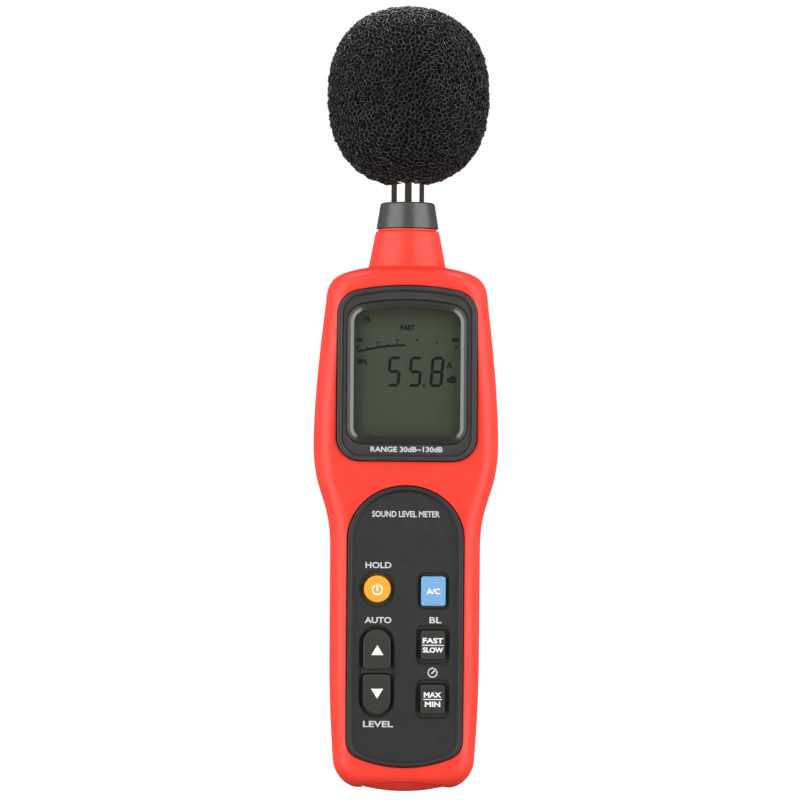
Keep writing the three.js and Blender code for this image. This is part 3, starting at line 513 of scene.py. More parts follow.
def cover_outline(half, top, corner, inset):
    """The battery cover or its opening from behind, running out below the casing."""
    low = -3
    middle, reach = (top + low) / 2, (top - low) / 2
    return rounded_rect((half, reach), (corner, 0.1), (0, middle), inset)


# ---- the casing's surface


def sampled(controls, inset):
    """Samples a chain of cubics, each point moved inwards by `inset` along its normal."""
    controls = np.array(controls, float)
    points = []
    for segment, steps in enumerate(OUTLINE_STEPS):
        a, b, c, d = controls[segment * 3 : segment * 3 + 4]
        last = segment == len(OUTLINE_STEPS) - 1
        t = (np.arange(steps + last) / steps)[:, None]
        s = 1 - t
        here = s**3 * a + 3 * s * s * t * b + 3 * s * t * t * c + t**3 * d
        along = unit(s * s * (b - a) + 2 * s * t * (c - b) + t * t * (d - c))
        points.append(here + inset * along[:, ::-1] * (-1, 1))
    points = np.vstack(points)
    points[0, 0] = points[-1, 0] = 0
    return points


def parting_ring(inset):
    """The whole outline at the parting plane."""
    right = sampled(PARTING_OUTLINE, inset)
    return np.vstack([right, right[-2:0:-1] * (-1, 1)])


def fullness(side, height):
    """The share of its depth that a casing half has at each height."""
    if side < 0:
        return np.ones_like(height)
    climb = np.maximum(height - TAPER_START, 0) / (TAPER_END - TAPER_START)
    return 1 - TAPER_DROP * climb**2 / REAR_DEPTH


def casing_half(side, inset, start=SPLIT, seam=0.0):
    """One half of the casing as a closed solid: side -1 is the front, 1 the rear. `start` is
    how far from the parting plane it begins, and `seam` rounds its edge there."""
    face = sampled(FACE_OUTLINE, 0)
    depth = (FRONT_DEPTH if side < 0 else REAR_DEPTH) - inset

    def ring(inward, y, shrink=0.0):
        parting = sampled(PARTING_OUTLINE, inset + shrink)
        flat = parting + (face - parting) * inward
        right = np.column_stack([flat[:, 0], side * y * fullness(side, flat[:, 1]), flat[:, 1]])
        return np.vstack([right, right[-2:0:-1] * (-1, 1, 1)])

    rings = []
    if start < 0:
        rings.append(ring(0, start))
    if seam:
        rings.append(ring(0, SPLIT, seam))
        rings.append(ring(0, SPLIT + seam * 0.4, seam * 0.3))
    power = 2 / SHOULDER_POWER
    for step in range(SHOULDER_STEPS + 1):
        angle = step / SHOULDER_STEPS * TAU / 4
        inward = 1 - max(math.cos(angle), 0) ** power
        y = SPLIT + (depth - SPLIT) * math.sin(angle) ** power
        rings.append(ring(inward, y + (seam if step == 0 else 0)))
    return skin(rings, strips=True)


def smooth_step(value, start, end):
    share = np.clip((value - start) / (end - start), 0, 1)
    return share * share * (3 - 2 * share)


def underside_at(y):
    """The height of the casing's underside at its middle."""
    share = min(abs(y) / (FRONT_DEPTH if y < 0 else REAR_DEPTH), 1)
    inward = 1 - (1 - share**SHOULDER_POWER) ** (1 / SHOULDER_POWER)
    low, high = PARTING_OUTLINE[0][1], FACE_OUTLINE[0][1]
    return low + (high - low) * inward


def lip_body(levels=70, columns=48):
    """What lies above the lip's and heel's bulging underside."""
    x = np.linspace(-COVER["half"], COVER["half"], columns)
    crown = np.maximum(1 - (x / LIP["half"]) ** 2, 0)
    rings = []
    for y in np.linspace(LIP_FRONT, LIP_BACK, levels):
        recess = LIP["recess"] * (1 - smooth_step(y, -1, 1))
        swell = smooth_step(y, *LIP_FADE_IN) * (1 - smooth_step(y, *LIP_FADE_OUT))
        under = underside_at(y) + recess - LIP["bulge"] * swell * crown
        ring = [(a, y, z) for a, z in zip(x, under)]
        rings.append([*ring, (x[-1], y, LIP_CEILING), (x[0], y, LIP_CEILING)])
    return skin(rings)


# ---- materials


def principled(name, colour, roughness, **sockets):
    """A new material with its Principled shader; colours are linear."""
    material = bpy.data.materials.new(name)
    material.use_nodes = True
    shader = material.node_tree.nodes["Principled BSDF"]
    for socket, value in {"Base Color": (*colour, 1), "Roughness": roughness, **sockets}.items():
        shader.inputs[socket].default_value = value
    return material, material.node_tree, shader


def add_node(tree, kind, inputs=None, **settings):
    """A shader node; an input is a value, or another node's socket to link from."""
    node = tree.nodes.new(kind)
    for key, value in settings.items():
        setattr(node, key, value)
    for key, value in (inputs or {}).items():
        if isinstance(value, bpy.types.NodeSocket):
            tree.links.new(value, node.inputs[key])
        else:
            node.inputs[key].default_value = value
    return node


def mixed(tree, share, first, second, how="MIX"):
    """A colour from two others."""
    inputs = {0: share, 6: first, 7: second}
    return add_node(tree, "ShaderNodeMix", inputs, data_type="RGBA", blend_type=how).outputs[2]


def noise_of(tree, size, detail, stretch=(1, 1, 1)):
    """Noise with features of about `size` millimetres, from 0 to 1, fixed to the surface."""
    where = add_node(tree, "ShaderNodeTexCoord").outputs["Object"]
    scale = tuple(1000 * s for s in stretch)
    place = add_node(tree, "ShaderNodeMapping", {"Vector": where, "Scale": scale}).outputs[0]
    inputs = {"Vector": place, "Scale": 1 / size, "Detail": detail}
    return add_node(tree, "ShaderNodeTexNoise", inputs).outputs["Fac"]


def ranged(tree, value, low, high, span=(0.3, 0.7)):
    """`value` stretched from `span` to low and high."""
    inputs = {0: value, 1: span[0], 2: span[1], 3: low, 4: high}
    return add_node(tree, "ShaderNodeMapRange", inputs).outputs[0]


def textured(name, colour, roughness, grain=(0.25, 0.01), mottle=0.06, spread=0.06, **more):
    """A moulded or machined finish: `grain` is (feature size, depth) in millimetres, `mottle`
    how much the colour varies, and `spread` how much the roughness does."""
    material, tree, shader = principled(name, colour, roughness, **more)
    cloud = ranged(tree, noise_of(tree, 9, 3), 0, 1)
    pale = tuple(min(c * (1 + mottle) + 0.015 * mottle, 1) for c in colour)
    deep = tuple(c * (1 - mottle) for c in colour)
    tree.links.new(mixed(tree, cloud, (*deep, 1), (*pale, 1)), shader.inputs["Base Color"])
    scuffs = ranged(tree, noise_of(tree, 2.4, 4), roughness - spread, roughness + spread)
    tree.links.new(scuffs, shader.inputs["Roughness"])
    if grain:
        inputs = {"Height": noise_of(tree, grain[0], 1), "Distance": grain[1] / 1000, "Strength": 1.0}
        bump = add_node(tree, "ShaderNodeBump", inputs)
        tree.links.new(bump.outputs[0], shader.inputs["Normal"])
    return material


def display_material():
    """Grey-green reflective display, with painted shade darkening it towards its top."""
    material, tree, shader = principled("display_glass", LCD_TONE[:3], 0.45, **{"Specular IOR Level": 0.2})
    where = add_node(tree, "ShaderNodeTexCoord").outputs["Object"]
    height = add_node(tree, "ShaderNodeSeparateXYZ", {0: where}).outputs[2]
    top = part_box("lcd_glass")[1].z
    # Painted shade: the tone darkens towards the display's top edge.
    tone = mixed(tree, ranged(tree, height, 0, 1, (top - 0.012, top - 0.003)), LCD_TONE, LCD_TOP_SHADE)
    streaks = ranged(tree, noise_of(tree, 0.5, 1, (1, 1, 0.02)), 0.94, 1.05)
    tree.links.new(mixed(tree, 1.0, tone, streaks, "MULTIPLY"), shader.inputs["Base Color"])
    return material


def clear_material():
    """A clear hard-coated window: mostly transparent, with a weak soft reflection."""
    material, tree, gloss = principled("clear_window", CLEAR_TINT, 0.3, Metallic=1.0)
    tree.links.new(ranged(tree, noise_of(tree, 6, 3), 0.27, 0.33), gloss.inputs["Roughness"])
    clear = add_node(tree, "ShaderNodeBsdfTransparent", {0: (0.96, 0.97, 0.95, 1)})
    inputs = {0: WINDOW_GLOSS, 1: clear.outputs[0], 2: gloss.outputs[0]}
    mix = add_node(tree, "ShaderNodeMixShader", inputs)
    tree.links.new(mix.outputs[0], tree.nodes["Material Output"].inputs[0])
    return material


MATERIALS = {name: textured(name, *look, **more) for name, (*look, more) in FINISHES.items()}
MATERIALS["display_glass"] = display_material()
MATERIALS["clear_window"] = clear_material()

# ---- the casing


def opening_tool(outline, back_y, lip=0.35):
    """A cutter for an opening in the front face, GAP wider than what fills it, that rounds the
    edge it leaves."""
    bend = rounding(-GAP, -FRONT_DEPTH, -lip, -lip, 4)
    return plate(outline, [(-GAP, back_y), *bend, (-GAP - lip, FAR_FRONT)])


def side_hole_tools():
    """Cutters for the holes over the sockets and the trimmer."""
    tools = []
    for node in (*SIDE_SOCKETS, "trimmer_rotor"):
        centre = centre_of(node)
        radius, y = SIDE_SOCKETS.get(node, (half_size_of(node)[2], centre[1]))
        tools.append(rod(radius + GAP, SIDE_CUT, "x", (0, y, centre[2])))
    return tools


def neck_half(side):
    """One half of the hollow neck, still without its bore."""
    ring = NECK_RING
    profile = softened([
        (0, NECK["foot"]),
        (NECK["foot_radius"], NECK["foot"]),
        (NECK["shoulder_radius"] - 0.05, NECK["shoulder"] + 0.25, 0.9),
        (ring["radius"] + 0.05, ring["bottom"], 0.15),
        (ring["radius"], ring["top"], 0.05),
        (0, ring["top"]),
    ], 6)
    whole = make_object("neck", *turned(profile, segments=128))
    far = (SPLIT, 30) if side > 0 else (-30, -SPLIT)
    return carved(whole, block((-30, 30), far, (190, 215)), how="INTERSECT")


def neck_bore():
    return rod(NECK["bore"], (185, NECK_RING["top"] + 1), "z", (0, 0, 0), 96)


def shell(name, side, wall=WALL):
    """One half of the casing, hollow."""
    outside, inside = casing_half(side, 0, seam=0.3), casing_half(side, wall, -1)
    return carved(make_object(name, *outside), inside)


def build_front_casing():
    piece = carved(shell("front_casing_shell", -1), neck_half(-1), how="UNION")
    carved(
        piece,
        neck_bore(),
        opening_tool(lambda inset: arched_top(BEZEL, inset), OPENING_Y["bezel"]),
        opening_tool(fascia_outline, OPENING_Y["fascia"]),
        plate(notch_outline, [(-LIP_GAP, -20), (-LIP_GAP, 1)]),
        *side_hole_tools(),
    )
    finish(piece, "meter", "casing_red", "front_casing")


def cover_opening_tools():
    """The cover's opening in the rear shell, and room for its heel."""
    half, top, edge = BAY["half"], COVER["top"] + GAP, COVER["edge"]
    corner = COVER["corner"] + GAP
    levels = [(0, 13), *rounding(0, REAR_DEPTH, -edge, edge), (-edge, FAR_REAR)]
    through = plate(lambda inset: cover_outline(half, top, corner, inset), levels)
    return block((-half, half), (0, 14), (-2, LIP["heel_top"] + 3)), through


def build_bay():
    """The battery bay's walls, with notches for the cover's hooks and a rib between the cells."""
    half, wall, bottom, top, front, back = BAY.values()
    outer = block((-half - wall, half + wall), (front - wall, back), (bottom - wall, top + wall))
    cuts = [
        block((-half, half), (front, back + 1), (bottom, top)),
        block((-half - 3, half + 3), (BAY_FOOT_Y, back + 1), (bottom - wall - 1, bottom)),
    ]
    reach = HOOK["half"] + GAP + 0.1
    for x in (-HOOK["x"], HOOK["x"]):
        cuts.append(block((x - reach, x + reach), (HOOK_NOTCH_Y, back + 1), (top - 1, top + wall + 1)))
    rib = block((-0.4, 0.4), (front - 0.2, BAY_RIB_BACK), (bottom + 2, top - 2))
    return carved(carved(make_object("bay", *outer), *cuts), rib, how="UNION")


def seam_tongue():
    """A lip inside the rear shell's edge that reaches past the seam and closes it."""
    root, outer, inner = WALL - 0.5, WALL + 0.1, WALL + 0.9
    near, reach = SPLIT + 0.2, 1.5
    profile = [(inner, reach), (root, reach), (root, near), (outer, near), (outer, -reach), (inner, -reach)]
    tongue = make_object("tongue", *plate(parting_ring, profile, loop=True))
    foot, head = BAY["half"] + 0.6, NECK["foot_radius"] + 0.5
    cuts = [block((-foot, foot), (-3, 3), (0, 9)), block((-head, head), (-3, SPLIT), (190, 200))]
    for node in (*SIDE_SOCKETS, "trimmer_body"):
        centre, half = centre_of(node), half_size_of(node) + GAP
        cuts.append(block(*zip(centre - half, centre + half)))
    return carved(tongue, *cuts)


def rear_hole_tools(mouth_start=4.4):
    """The counterbored screw holes and the bush's mouth, each with a small chamfer. The mouth
    starts `mouth_start` before the bush's middle."""
    tools = []
    for x, _, z in map(centre_of, SCREWS):
        depth = REAR_DEPTH * float(fullness(1, np.array(z)))
        tools.append(rod(SCREW_HOLE, (-1, FAR_REAR), "y", (x, 0, z)))
        bore = [(COUNTERBORE, SCREW_SEAT_Y), (COUNTERBORE, depth - 0.4),
                (COUNTERBORE + 0.5, depth + 0.1), (COUNTERBORE + 0.5, FAR_REAR)]
        tools.append(turned(bore, "y", (x, 0, z), 48))
    start, radius = centre_of("tripod_bush")[1] - mouth_start, half_size_of("tripod_bush")[0] + GAP
    mouth = [(radius, start), (radius, REAR_DEPTH - 0.35), (radius + 0.4, REAR_DEPTH + 0.05),
             (radius + 0.4, FAR_REAR)]
    return [*tools, turned(mouth, "y", (0, 0, SOCKET_Z))]


def build_rear_casing():
    bosses = [rod(BOSS_RADIUS, (SPLIT, BOSS_END_Y), "y", (x, 0, z)) for x, _, z in map(centre_of, SCREWS)]
    bosses.append(rod(SOCKET_BOSS_RADIUS, (SOCKET_BOSS_Y, BOSS_END_Y), "y", (0, 0, SOCKET_Z)))
    inside = make_object("bosses", *merged(*bosses))
    carved(inside, casing_half(1, 0), how="INTERSECT")
    bay = build_bay()
    piece = carved(shell("rear_casing_shell", 1), *cover_opening_tools())
    carved(piece, neck_half(1), inside, bay, seam_tongue(), how="UNION")
    carved(piece, neck_bore(), *rear_hole_tools(), *side_hole_tools())
    finish(piece, "meter", "casing_red", "rear_casing")


def build_lip():
    """The cover's lip in the front shell's notch, with its heel behind the parting plane."""
    front = COVER["front"]
    lip = make_object("lip", *plate(notch_outline, [(0, LIP_FRONT), (0, front + 1)]))
    heel = block((-COVER["half"], COVER["half"]), (front, LIP_BACK), (-2, LIP["heel_top"]))
    carved(lip, heel, how="UNION")
    return carved(lip, lip_body(), how="INTERSECT")


def grip_grooves(rows=7, pitch=2, first=96, widest=8.5):
    """Grooves for a thumb on the cover, shorter towards the top."""
    grooves = []
    for row in range(rows):
        reach = widest * math.sqrt(max(1 - (row / rows) ** 2, 0.02))
        profile = [(0, -reach), (0.5, -reach + 0.1), (0.62, -reach + 0.6), (0.62, reach - 0.6),
                   (0.5, reach - 0.1), (0, reach)]
        grooves.append(turned(profile, "x", (0, REAR_DEPTH + 0.1, first + row * pitch), 24))
    return grooves


def build_battery_cover():
    """The cover: a skin with a rounded edge, its heel and lip, two hooks and a ribbed grip."""
    piece = shell("battery_cover_shell", 1, COVER["wall"])
    top, edge = COVER["top"], COVER["edge"]
    bend = rounding(0, REAR_DEPTH, edge, edge)
    zone = plate(
        lambda inset: cover_outline(COVER["half"], top, COVER["corner"], inset),
        [(0, COVER["front"]), *bend, (edge, FAR_REAR)],
    )
    carved(piece, zone, how="INTERSECT")
    hooks = []
    for side in (-1, 1):
        width = (side * HOOK["x"] - HOOK["half"], side * HOOK["x"] + HOOK["half"])
        hooks.append(block(width, (HOOK["front"], HOOK["root"]), (top - 5, top)))
        hooks.append(block(width, (HOOK["front"], HOOK["back"]), (top - 5, top + 2)))
    carved(piece, *hooks, build_lip(), how="UNION")
    carved(piece, *grip_grooves())
    finish(piece, "battery_cover", "casing_red", "battery_cover")


def build_casing_screws():
    """Cross-headed screws with a ridged shank."""
    ridges = [(1.4 - 0.3 * (k % 2), -8 + 0.25 * k) for k in range(48)]
    head = [(1.4, 5), (2.6, 5, 0.15), (2.6, 6.3, 0.3), (1.8, 7, 0.4), (0, 7)]
    profile = softened([(0, -9), (0.5, -8.8), *ridges, *head])
    for node in SCREWS:
        x, _, z = centre_of(node)
        piece = make_object(f"{node}_steel", *turned(profile, "y", (x, 0, z), 32))
        cross = [block((x - u, x + u), (6.1, 8), (z - v, z + v)) for u, v in ((1.5, 0.3), (0.3, 1.5))]
        carved(piece, *cross)
        finish(piece, "meter", "plated_steel", node)


def build_tripod_bush(pitch=1.27):
    """A brass bush with a quarter-inch camera thread."""
    centre, half = centre_of("tripod_bush"), half_size_of("tripod_bush")
    start, end = centre[1] - half[1], centre[1] + half[1]
    outside = [(3.7, start), (half[0], start, 0.2), (half[0], end, 0.3), (3.75, end, 0.2)]
    thread = []
    for turn in range(5):
        thread += [(3.2, end - 0.7 - turn * pitch), (3.7, end - 0.7 - (turn + 0.5) * pitch)]
    profile = softened([*outside, *thread, (3.7, start)])
    piece = make_object("tripod_bush_thread", *turned(profile, "y", (0, 0, SOCKET_Z), 64, loop=True))
    finish(piece, "meter", "brass", "tripod_bush")


# ---- display


def bezel_level(inset):
    """Outlines from the bezel's rim (0 to 5) to the window's pocket (from 9, where 10 is the
    window's own outline)."""
    return arched_top(BEZEL, inset) if inset < 5 else arched_top(WINDOW, inset - 10)


def build_bezel():
    top, flat, back = BEZEL_TOP_Y, BEZEL_FLAT_Y, BEZEL_BACK_Y
    profile = softened([
        (0, back), (0, top, 0.55), (1.55, top, 0.5), (1.8, flat + 0.25, 0.1),
        (2.15, flat + 0.25, 0.1), (2.25, flat, 0.1), (9.6, flat, 0.12), (9.7, POCKET_Y),
        (11.6, POCKET_Y), (11.6, back),
    ])
    piece = make_object("lcd_bezel_frame", *plate(bezel_level, profile, loop=True))
    finish(piece, "meter", "bezel_dark", "lcd_bezel")


def build_window():
    """The window: a clear face with a bevel and a rim, which take finishes of their own."""
    back, foot, front = LENS_Y
    levels = [(0, back), (0, foot + 0.1), (0.1, foot), (LENS_BEVEL / 2, (foot + front) / 2 + 0.03),
              (LENS_BEVEL - 0.15, front + 0.06), (LENS_BEVEL, front + 0.01), (LENS_BEVEL + 0.2, front)]
    points, faces = plate(lambda inset: arched_top(WINDOW, inset), levels)
    count = len(arched_top(WINDOW))
    marks = [2] * (3 * count) + [1] * (3 * count) + [0, 0]
    piece = make_object("display_window", points, faces, marks)
    finish(piece, "meter", "clear_window lens_edge lens_rim", "lens_window", degrees=12)
    piece.visible_shadow = False


# ---- lettering


def ink_plate(outline, y):
    """A flat shape from its (x, z) outline."""
    return skin([[(x, v, z) for x, z in outline] for v in (y + INK_ROOT, y - INK)])


def stroke_axes(start, end):
    """Unit vectors along a stroke and to its left."""
    along = (end - start) / np.linalg.norm(end - start)
    return along, np.array([-along[1], along[0]])


def ink_bar(start, end, width, y):
    """A straight stroke."""
    start, end = np.array(start, float), np.array(end, float)
    side = stroke_axes(start, end)[1] * width / 2
    return ink_plate([start - side, end - side, end + side, start + side], y)


def ink_ring(centre, radii, y, span=(0, TAU), steps=40):
    """A stroke along an arc."""
    full = span[1] - span[0] > TAU - 1e-6
    edges = [(radii[i], y + v) for i, v in ((0, INK_ROOT), (1, INK_ROOT), (1, -INK), (0, -INK))]
    rings = []
    for turn in np.linspace(*span, steps, endpoint=not full):
        x, z = math.cos(turn), math.sin(turn)
        rings.append([(centre[0] + radius * x, level, centre[1] + radius * z) for radius, level in edges])
    return skin(rings, loop=full)


def ink_text(text, centre, size, y, bold=PLAIN):
    """Words `size` (wide, high) about `centre`."""
    curve = bpy.data.curves.new("words", "FONT")
    curve.body = text
    curve.extrude = 0.5
    curve.offset = bold
    curve.resolution_u = 3
    holder = bpy.data.objects.new("words", curve)
    bpy.context.scene.collection.objects.link(holder)
    mesh = mesh_of(holder)
    points = np.array([vertex.co for vertex in mesh.vertices])
    faces = [tuple(face.vertices) for face in mesh.polygons]
    bpy.data.objects.remove(holder)
    bpy.data.curves.remove(curve)
    bpy.data.meshes.remove(mesh)
    share = (points - points.min(0)) / np.ptp(points, axis=0) - 0.5
    depth = y + INK_ROOT - (share[:, 2] + 0.5) * (INK + INK_ROOT)
    x, z = centre[0] + share[:, 0] * size[0], centre[1] + share[:, 1] * size[1]
    return np.column_stack([x, depth, z]), faces


def digit_strokes(segments, centre, y):
    """A seven-segment figure: `segments` are letters a to g, clockwise from the top."""
    half = (np.array(DIGIT_SIZE) - DIGIT_STROKE) / 2
    parts = []
    for letter in segments:
        start, end = np.array(SEGMENTS[letter]) * half
        along, side = stroke_axes(start, end)
        start, end = start + along * DIGIT_GAP, end - along * DIGIT_GAP
        tip, side = along * DIGIT_STROKE / 2, side * DIGIT_STROKE / 2
        outline = [start, start + tip - side, end - tip - side, end, end - tip + side, start + tip + side]
        parts.append(ink_plate([(centre[0] + x + z * DIGIT_LEAN, centre[1] + z) for x, z in outline], y))
    return parts


def print_on(name, body, material, parts):
    """One flat-shaded piece of lettering on a body."""
    finish(make_object(name, *merged(*parts)), body, material, degrees=0)


def bar_strokes():
    """The analogue bar over the figures: its arc, its ticks, and the dots of its scale."""
    (x, z), radius, half = BAR["centre"], BAR["radius"], BAR["half"]
    span = math.acos(BAR_END / radius), math.acos(BAR_START / radius)
    parts = [ink_ring((x, z), (radius - half, radius + half), LCD_Y, span, 30)]
    for across in np.linspace(BAR_START, BAR_LAST_TICK, 5):
        turn = math.acos(across / radius)
        way = np.array([math.cos(turn), math.sin(turn)])
        parts.append(ink_bar((x, z) + way * radius, (x, z) + way * (radius + 1), 0.4, LCD_Y))
    (x, z), radius, reach, count = SCALE_DOTS.values()
    for dot_x in np.linspace(-reach, reach, count):
        dot_z = z + math.sqrt(radius**2 - (dot_x - x) ** 2)
        parts.append(ink_bar((dot_x - 0.42, dot_z), (dot_x + 0.42, dot_z), 0.6, LCD_Y))
    return parts


def build_display_figures():
    """A clock sign, words, three seven-segment figures with a point, and the bar."""
    x, z = CLOCK_AT
    parts = [
        ink_ring((x, z), (0.75, 1.15), LCD_Y, steps=24),
        ink_bar((x, z - 0.2), (x, z + 0.9), 0.4, LCD_Y),
        ink_bar((x - 0.15, z), (x + 0.75, z), 0.4, LCD_Y),
    ]
    parts += [ink_text(word, *place, LCD_Y, LCD_BOLD) for word, place in DISPLAY_WORDS.items()]
    parts.append(ink_ring(POINT_AT, (0.02, 0.5), LCD_Y, steps=16))
    for segments, x in FIGURES:
        parts += digit_strokes(segments, (x, FIGURES_Z), LCD_Y)
    print_on("display_figures", "meter", "lcd_ink", parts + bar_strokes())


def build_printed_legends():
    """The words on the keypad's deck and on the bezel."""
    x, z = 10.3, 46.5
    parts = [ink_text(word, centre, (wide, 2.3), DECK_Y) for word, (centre, wide) in DECK_WORDS.items()]
    parts.append(ink_ring((x, z), (1.4, 1.88), DECK_Y, (math.radians(68), math.radians(382))))
    parts.append(ink_bar((x - 0.4, z - 0.4), (x + 1.3, z + 1.3), 0.62, DECK_Y))
    print_on("deck_legends", "meter", "ink_white", parts)
    range_line = ink_text("RANGE 30dB~130dB", (0, 128.9), (26.6, 2), BEZEL_FLAT_Y)
    print_on("range_legend", "meter", "ink_white", [range_line])


def build_key_legends():
    y = KEY_TOP_Y
    places = {name: centre_of(name)[[0, 2]] for name in KEYS}
    x, z = places["key_power"]
    legends = {"key_power": [
        ink_ring((x, z - 0.2), (1.5, 2.05), y, (math.radians(118), math.radians(422))),
        ink_bar((x, z - 0.7), (x, z + 2), 0.55, y),
    ]}
    legends["key_ac"] = [ink_text("A/C", places["key_ac"], (5.1, 2.2), y, KEY_BOLD)]
    for name, side in (("key_up", 1), ("key_down", -1)):
        x, z = places[name] + (0.2, -0.3 * side)
        base, tip = z - 1.85 * side, z + 1.85 * side
        legends[name] = [ink_plate([(x - 2.25, base), (x + 2.25, base), (x, tip)], y)]
    for name, (upper, upper_width, lower, lower_width) in KEY_WORDS.items():
        x, z = places[name]
        reach = upper_width / 2 + 0.2
        legends[name] = [
            ink_text(upper, (x, z + 1.7), (upper_width, 2), y, KEY_BOLD),
            ink_bar((x - reach, z), (x + reach, z), 0.34, y),
            ink_text(lower, (x, z - 1.75), (lower_width, 2), y, KEY_BOLD),
        ]
    for name, parts in legends.items():
        print_on(f"{name}_legend", name, "key_white", parts)


# ---- keypad


def key_outline(name):
    half = half_size_of(name)[[0, 2]] - KEY_FLANGE
    return lambda inset: rounded_rect(half, KEYS[name][0], centre_of(name)[[0, 2]], inset)


def build_key(name):
    """A rubber key: rounded cap with a faint crown, hidden flange and plunger."""
    top, (flange_top, flange_back) = KEY_TOP_Y, KEY_FLANGE_Y
    profile = softened([
        (-KEY_FLANGE, flange_back), (-KEY_FLANGE, flange_top), (0, flange_top, 0.1),
        (0, top + 0.04, 0.5), (1.3, top + 0.01), (2.6, top), (4.2, top),
    ], 6)
    cap = make_object(f"{name}_cap", *plate(key_outline(name), profile))
    x, _, z = centre_of(name)
    plunger = rod(1.5, (flange_back - 0.3, PLUNGER_END_Y), "y", (x, 0, z), 32)
    finish(carved(cap, plunger, how="UNION"), name, KEYS[name][1], name)


def recess_tool(half, corner, centre):
    """A cutter for a key's recess, with a chamfered foot and rim."""
    profile = [(0.35, RECESS_Y), (0, RECESS_Y - 0.35), (-0.05, DECK_Y + 0.3), (-0.3, DECK_Y - 0.02),
               (-0.3, FAR_FRONT)]
    return plate(lambda inset: rounded_rect(half, (corner, corner), centre, inset), profile)


def recess_tools():
    """One recess for each key, and one for the level-up and level-down keys together."""
    tools = []
    for name, (_, _, margin) in KEYS.items():
        if margin:
            half = half_size_of(name)[[0, 2]] - KEY_FLANGE + margin
            corner = half[0] if name == "key_power" else 2
            tools.append(recess_tool(half, corner, centre_of(name)[[0, 2]]))
    middle = ((centre_of("key_up") + centre_of("key_down")) / 2)[[0, 2]]
    return [*tools, recess_tool(SHARED_RECESS, SHARED_RECESS[0], middle)]


def build_fascia():
    """The keypad's plate. Its recesses take a paler tone than its deck: painted light that offsets the
    shade falling in them.
    """
    rim, deck, back = FASCIA_RIM_Y, DECK_Y, FASCIA_BACK_Y
    profile = softened([
        (0, back), (0, rim, 0.7), (1.5, rim, 0.6), (2, deck + 0.1, 0.25), (2.5, deck), (2.6, deck),
    ], 5)
    piece = make_object("keypad_fascia_plate", *plate(fascia_outline, profile))
    holes = [plate(key_outline(name), [(-0.35, FAR_FRONT), (-0.35, -13)]) for name in KEYS]
    carved(piece, *recess_tools(), *holes)
    # Faces sunk below the deck take the recess tone: painted light against the shade in the recesses.
    sunk = (DECK_Y + 0.3 - REAR_DEPTH) / 1000
    for face in piece.data.polygons:
        face.material_index = int(face.center.y > sunk)
    finish(piece, "meter", "fascia_dark recess_dark", "keypad_fascia", degrees=28)


# ---- sockets and batteries


def build_side_sockets():
    """Each socket's housing with its nose, and a plated sleeve in its bore."""
    for name, (radius, y) in SIDE_SOCKETS.items():
        centre, half = centre_of(name), half_size_of(name)
        axis = (0, y, centre[2])
        start, end = centre[0] - half[0], centre[0] + half[0]
        housing = rounded_rect((half[1], half[2]), (0.4, 0.4), centre[1:])
        body = skin([[(x, *point) for point in housing] for x in (start, end - 3)])
        piece = make_object(f"{name}_housing", *body)
        nose = softened([(0, end - 4), (radius, end - 4), (radius, end, 0.4), (0, end)])
        carved(piece, turned(nose, "x", axis, 48), how="UNION")
        bore = radius * 0.62
        mouth = [(bore, start + 2), (bore, end - 0.4), (bore + 0.5, end + 0.1), (bore + 0.5, end + 2)]
        carved(piece, turned(mouth, "x", axis, 48))
        finish(piece, "meter", "black_plastic", name)
        inner, outer = bore - 0.3, bore - 0.01
        sleeve = [(inner, end - 6), (outer, end - 6), (outer, end - 0.9), (inner, end - 0.9)]
        ring = make_object(f"{name}_sleeve", *turned(sleeve, "x", axis, 48, loop=True))
        finish(ring, "meter", "plated_steel")


def build_trimmer_rotor():
    (x, y, z), half = centre_of("trimmer_rotor"), half_size_of("trimmer_rotor")
    start, end = x - half[0], x + half[0]
    profile = softened([(0, start), (half[2], start, 0.1), (half[2], end, 0.25), (0, end)])
    piece = make_object("trimmer_rotor_slotted", *turned(profile, "x", (0, y, z), 48))
    carved(piece, block((end - 0.8, end + 1), (y - 0.3, y + 0.3), (z - 3, z + 3)))
    finish(piece, "trimmer_rotor", "brass", "trimmer_rotor")


def build_cells():
    """Round cells: a steel can with its nub, in a banded sleeve. Neighbours face opposite ways."""
    can = softened([
        (0, 0), (6.2, 0, 0.3), (6.85, 0.5), (6.85, 48.8), (6.3, 49.1), (2.7, 49.2),
        (2.7, 50.5, 0.4), (0, 50.5),
    ])
    sleeve = [(6.4, 0.15), (6.95, 0.2), (7.15, 0.5), (7.15, 36), (7.15, 48.7), (6.95, 49.1),
              (6.2, 49.15), (6.2, 48.9), (6.86, 48.7), (6.86, 0.5)]
    for node in [f"battery_cell_{i}" for i in range(1, 5)]:
        centre, half = centre_of(node), half_size_of(node)
        up = 1 if centre[0] < 0 else -1
        at = (centre[0], centre[1], centre[2] - up * half[2])
        steel = make_object(f"{node}_can", *turned([(r, up * h) for r, h in can], "z", at, 48))
        finish(steel, "meter", "plated_steel", node)
        points, faces = turned([(r, up * h) for r, h in sleeve], "z", at, 48, loop=True)
        marks = [int(face // 48 in (3, 4, 5)) for face in range(len(faces))]
        wrap = make_object(f"{node}_sleeve", points, faces, marks)
        finish(wrap, "meter", "cell_sleeve cell_band")


